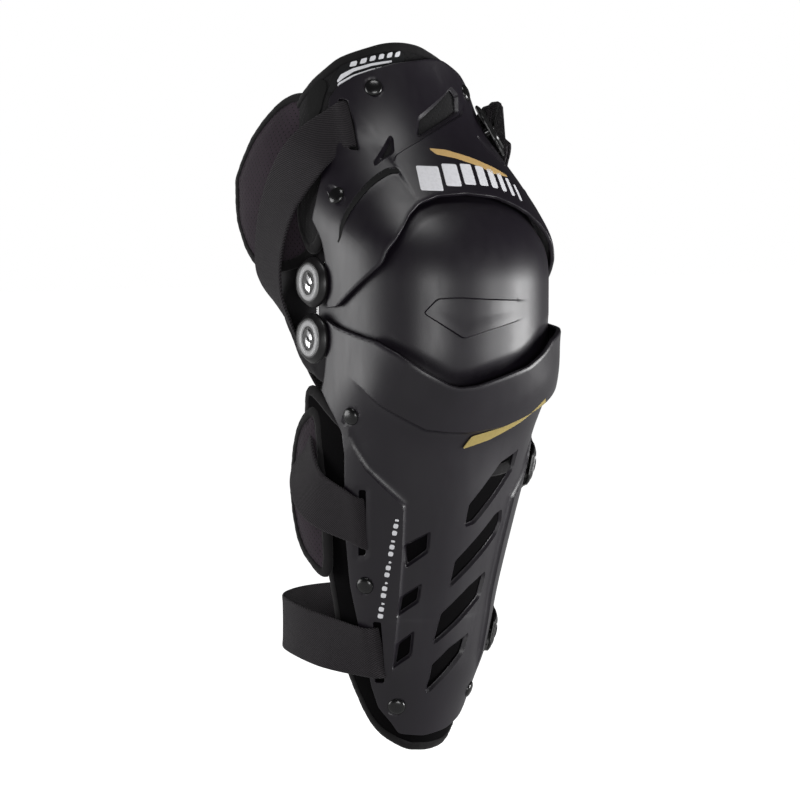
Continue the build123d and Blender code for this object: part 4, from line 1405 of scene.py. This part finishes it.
def mark(name, form, outline, relief, material, body, radius=1.0, lift=0.12):
    """Thin patch that follows its shell: a printed or foil mark, a patch on the lining, or the painted shade
    laid in the thigh's groove.
    """
    patch = sheet_patch(soften(form.fronts(outline), radius), 1.0, 0.5)
    made = moulded(name, form, patch, relief, wall=PRINT_WALL, edge=0.04, lift=lift)
    return dress(made, material, body)


GOLD_BLADE = [(-15.4, 110), (-3, 109), (14.9, 104), (35.1, 96.5), (47.8, 90), (28.6, 93), (19.9, 97.4),
              (1.5, 103.2), (-12, 105.8)]
OLIVE_BLADE = [(-14, -92.5), (-9, -84), (12, -79), (27, -73), (36, -67), (47, -59), (50, -64),
               (39.5, -71.5), (29.6, -77), (6, -87)]
# Painted shade: a near-black patch laid along the groove, standing in for the shadow under its overhang.
mark("thigh_groove_painted_shade", THIGH, tapered_band(THIGH_GROOVE, 0.4, 3.4), thigh_relief, "groove_black",
     "thigh", 0.3, lift=0.06)
mark("thigh_gold_mark", THIGH, GOLD_BLADE, thigh_relief, "print_gold", "thigh")
mark("shin_gold_mark", SHIN, OLIVE_BLADE, shin_relief, "print_olive", "shin")


def slanted_bars(name, form, places, relief, body):
    """Row of slanted bars along a line: places are (x, z, width, height) of each bar's foot."""
    bars = []
    for i, (x, z, width, height) in enumerate(places):
        lean = 0.32 * height if height > 5 else 0
        shape = [(x, z), (x + lean, z + height), (x + lean + width, z + height - 0.5), (x + width, z - 0.5)]
        bars.append(mark(f"bar_{i}", form, shape, relief, "print_white", None, radius=0.8))
    return dress(join(name, bars), "print_white", body)


ARCH_BARS = [(-36, 81.5, 15, 16.5), (-17, 84.5, 11.5, 15), (-2, 85.5, 9, 14), (10.5, 84.8, 7, 13.5),
             (20.5, 83.2, 5.5, 13), (29, 81, 4.4, 12.5), (36.5, 78, 3.4, 12), (43, 74.5, 2.6, 11)]
slanted_bars("thigh_white_mark", THIGH, ARCH_BARS, thigh_relief, "thigh")
SIDE_TICKS = [(-49.5 + 0.06 * k, -142 - 5.0 * k, 2.6, 3.2 if k % 3 else 1.4) for k in range(15)]
slanted_bars("shin_white_mark", SHIN, SIDE_TICKS, shin_relief, "shin")
LABEL = [(-59.8, 149.5), (-52.5, 167), (-45.9, 171), (-34.8, 174.7), (-21, 176.3), (-13.4, 176.8),
         (-14, 169), (-28, 166), (-40, 162), (-49, 156.5), (-56, 150)]
MESH_WINDOW = [(-66, 144), (-64.4, 152), (-61.3, 158.5), (-59.2, 158), (-59.6, 152), (-61.8, 145.5),
               (-64, 138), (-67, 130), (-68.6, 129)]


def liner_relief(p):
    """Small waves of the lining's outer side, for what is sewn on it."""
    return ripples(THIGH, p, 0.09, 0.3)


mark("lining_mesh_window", THIGH, MESH_WINDOW, liner_relief, "mesh_grey", "thigh", 2.0,
     lift=-2.9)
label = mark("liner_label_patch", THIGH, LABEL, liner_relief, "label_black", "thigh", 1.5,
             lift=-2.6)
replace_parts(label, "liner_label")
LABEL_MARKS = [[(-56.1, 154.5), (-52.6, 161.5), (-46.3, 165.6), (-35.3, 169.2), (-22.5, 171.2),
                (-22.9, 169.8), (-35.6, 167.4), (-45.8, 163.6), (-51.6, 159.2)],
               [(-57, 151.2), (-54, 156.2), (-47, 161), (-36, 165.4), (-23.5, 168), (-23.8, 167),
                (-36, 164.2), (-46.8, 159.6), (-53.6, 155)]]
LABEL_BLOCKS = [(-48, 166.6), (-42.5, 168.6), (-37, 170.3), (-31.5, 171.6), (-26, 172.6), (-20.5, 173.2)]
LABEL_MARKS += [[(x, z), (x + 1.2, z + 3.4), (x + 4.6, z + 4.4), (x + 3.6, z + 0.9)] for x, z in LABEL_BLOCKS]
stripes = []
for i, shape in enumerate(LABEL_MARKS):
    stripes.append(mark(f"stripe_{i}", THIGH, shape, liner_relief, "print_white", None, 0.5,
                        lift=-2.45))
dress(join("liner_label_marks", stripes), "print_white", "thigh")


# ---------------------------------------------------------------- pads at the knee
PAD_VOXEL = 4.5
PAD_PRESSURE = 4.0
PAD_FRAMES = 20


def puffed(made, cap):
    """Remesh a closed pad and let Cloth inflate it; no point goes further than cap millimetres."""
    remesh = made.modifiers.new("remesh", "REMESH")
    remesh.mode = "VOXEL"
    remesh.voxel_size = PAD_VOXEL * MM
    apply_modifiers(made)
    start = np.array([v.co for v in made.data.vertices])
    soft = made.modifiers.new("cloth", "CLOTH")
    soft.settings.use_pressure = True
    soft.settings.uniform_pressure_force = PAD_PRESSURE
    soft.settings.effector_weights.gravity = 0
    scene = bpy.context.scene
    for step in range(1, PAD_FRAMES + 1):
        scene.frame_set(step)
    apply_modifiers(made)
    scene.frame_set(1)
    move = np.array([v.co for v in made.data.vertices]) - start
    size = np.linalg.norm(move, axis=1, keepdims=True)
    now = start + move * np.minimum(1, cap * MM / np.maximum(size, 1e-9))
    made.data.vertices.foreach_set("co", now.ravel())
    finer = made.modifiers.new("finer", "SUBSURF")
    finer.levels = finer.render_levels = 1
    apply_modifiers(made)
    made.data.polygons.foreach_set("use_smooth", [True] * len(made.data.polygons))
    made.data.update()
    return made


def apply_modifiers(made):
    """Replace a mesh by what its modifiers make of it."""
    graph = bpy.context.evaluated_depsgraph_get()
    graph.update()
    result = bpy.data.meshes.new_from_object(made.evaluated_get(graph))
    made.modifiers.clear()
    made.data = result


KNEE_PAD = [(-88, -50), (-60, -66), (60, -66), (88, -50), (92, 20), (60, 56), (-60, 56), (-92, 20)]
KNEE_SEAMS = [np.array([(u, -70), (u, 60)]) for u in (-52, 0, 52)]


def knee_pad():
    """Foam sheet inside the cup, swollen between its seams."""
    patch = Patch((-92, -66), (92, 58), 4.0)
    outline = soften(KNEE_PAD, 14)
    patch.cut(lambda p: inside(outline, p))

    def thickness(p):
        return 4.2 + 3.4 * np.minimum(pillow(p, KNEE_SEAMS, 12), np.clip(inside(outline, p) / 9, 0, 1))

    return moulded("knee_pad_foam", CUP, patch, None, wall=thickness, edge=1.2, lift=-4.2)


CUSHION_X = 66.5
CUSHION_OUTLINE = [(-20, -44), (-22, 34), (-4, 52), (36, 56), (77, 36), (79, 0), (44, -46), (4, -58)]
CUSHION_PROFILE = [(3.5, -6.5), (0.8, -5.5), (0, -3), (0, 0), (1.2, 2.6), (4.5, 3.9)]


def side_cushion(side, word):
    """Pad between the leg and the hinge, with its rear part filling the gap under the strap."""
    rings = []
    for ring in outline_rings(soften(CUSHION_OUTLINE, 13), CUSHION_PROFILE):
        ring = np.column_stack([side * (CUSHION_X + ring[:, 2]), ring[:, 0], ring[:, 1]])
        rings.append(ring[::-1] if side < 0 else ring)
    return lofted(f"hinge_cushion_{word}_pad", rings)


pad = puffed(knee_pad(), 2.5)
dress(pad, "lining_plain", "knee")
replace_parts(pad, "knee_pad")
for side, word in ((-1, "left"), (1, "right")):
    cushion = puffed(side_cushion(side, word), 2.0)
    dress(cushion, "lining_plain", "knee")
    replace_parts(cushion, f"hinge_cushion_{word}")


# ---------------------------------------------------------------- carried-over metal and nylon parts
EDGE_BEVEL = 0.3


def finish_node(node, material):
    """Give a CAD node its material and small rounded edges."""
    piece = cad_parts[node]
    piece.data.materials.clear()
    piece.data.materials.append(MATERIALS[material])
    round_edges = piece.modifiers.new("bevel", "BEVEL")
    round_edges.width = EDGE_BEVEL * MM
    round_edges.segments = 2
    round_edges.limit_method = "ANGLE"


for material, nodes in (("steel", ("link_plate_left", "link_plate_right", "pivot_pins")),
                        ("nylon_white", ("thrust_washers", "upper_bushes", "lower_bushes")),
                        ("rivet_black", ("thigh_post", "calf_post", "ankle_post"))):
    for node in nodes:
        finish_node(node, material)


# ---------------------------------------------------------------- stage
FLOOR_Z = -0.40           # lengths from here on are metres
FLOOR_HALF = 9.0
AMBIENT = 0.035           # strength of the world's light on the object
FLOOR_GLOW = 0.45         # strength of the floor's light on the object
VIEW_TURN, VIEW_RISE = radians(-33), radians(5)
CAMERA_DISTANCE = 1.7
CAMERA_LEFT, CAMERA_DOWN = 0.0133, 0.0651
FRAME_WIDTH = 0.56        # across the picture at the knee
BACK = Vector((sin(VIEW_TURN) * cos(VIEW_RISE), -cos(VIEW_TURN) * cos(VIEW_RISE), sin(VIEW_RISE)))
RIGHT = Vector((cos(VIEW_TURN), sin(VIEW_TURN), 0))
UP = BACK.cross(RIGHT)


def add_camera():
    """Camera of the photo: left of the front and a little up, with the knee above the picture's middle."""
    data = bpy.data.cameras.new("camera")
    data.sensor_width = 36
    data.lens = data.sensor_width * CAMERA_DISTANCE / FRAME_WIDTH
    camera = bpy.data.objects.new("camera", data)
    bpy.context.scene.collection.objects.link(camera)
    camera.location = BACK * CAMERA_DISTANCE - RIGHT * CAMERA_LEFT - UP * CAMERA_DOWN
    camera.rotation_euler = BACK.to_track_quat("Z", "Y").to_euler()
    bpy.context.scene.camera = camera


def add_softbox(name, place, width, height, power):
    data = bpy.data.lights.new(name, "AREA")
    data.shape = "RECTANGLE"
    data.size, data.size_y, data.energy = width, height, power
    lamp = bpy.data.objects.new(name, data)
    lamp.location = place
    lamp.rotation_euler = (place - Vector((0, 0, -0.05))).to_track_quat("Z", "Y").to_euler()
    bpy.context.scene.collection.objects.link(lamp)


def add_world():
    """White all round for the camera, and much dimmer as a light on the object."""
    world = bpy.data.worlds.new("studio")
    bpy.context.scene.world = world
    world.use_nodes = True
    tree = world.node_tree
    seen = tree.nodes["Background"]
    seen.inputs["Color"].default_value = (1, 1, 1, 1)
    dim = tree.nodes.new("ShaderNodeBackground")
    dim.inputs["Color"].default_value = (1, 1, 1, 1)
    dim.inputs["Strength"].default_value = AMBIENT
    seen_only(tree, dim.outputs[0], seen.outputs[0], tree.nodes["World Output"].inputs["Surface"])


def seen_only(tree, lighting, seen, target):
    """Send one shader to the camera's own rays and another to all the rest."""
    mix = tree.nodes.new("ShaderNodeMixShader")
    rays = tree.nodes.new("ShaderNodeLightPath")
    tree.links.new(rays.outputs["Is Camera Ray"], mix.inputs[0])
    tree.links.new(lighting, mix.inputs[1])
    tree.links.new(seen, mix.inputs[2])
    tree.links.new(mix.outputs[0], target)


def add_floor():
    """Floor that looks white to the camera and lights the object from below."""
    half = FLOOR_HALF / MM
    corners = [(-half, -half, 0), (half, -half, 0), (half, half, 0), (-half, half, 0)]
    floor = new_object("floor", corners, [(0, 1, 2, 3)])
    floor.location.z = FLOOR_Z
    paper, tree, surface = shader("floor_paper", (0.6, 0.6, 0.6), 0.9, specular=0.1)
    surface.inputs["Emission Color"].default_value = (1, 1, 1, 1)
    surface.inputs["Emission Strength"].default_value = 1.0
    glow = tree.nodes.new("ShaderNodeEmission")
    glow.inputs["Strength"].default_value = FLOOR_GLOW
    seen_only(tree, glow.outputs[0], surface.outputs[0], tree.nodes["Material Output"].inputs["Surface"])
    floor.data.materials.append(paper)


add_camera()
add_softbox("right", RIGHT * 1.4 + BACK * 0.08 - UP * 0.35, 0.6, 0.9, 44)
add_softbox("left", BACK * 0.05 - RIGHT * 1.4 - UP * 0.05, 0.9, 0.8, 12)
add_softbox("top", UP * 1.5 + BACK * 0.6, 0.8, 0.6, 9)
add_softbox("front", BACK * 1.7 + RIGHT * 0.2 - UP * 0.22, 0.8, 0.45, 12)
add_world()
add_floor()
bpy.context.scene.view_settings.view_transform = "Standard"

bpy.context.view_layer.update()
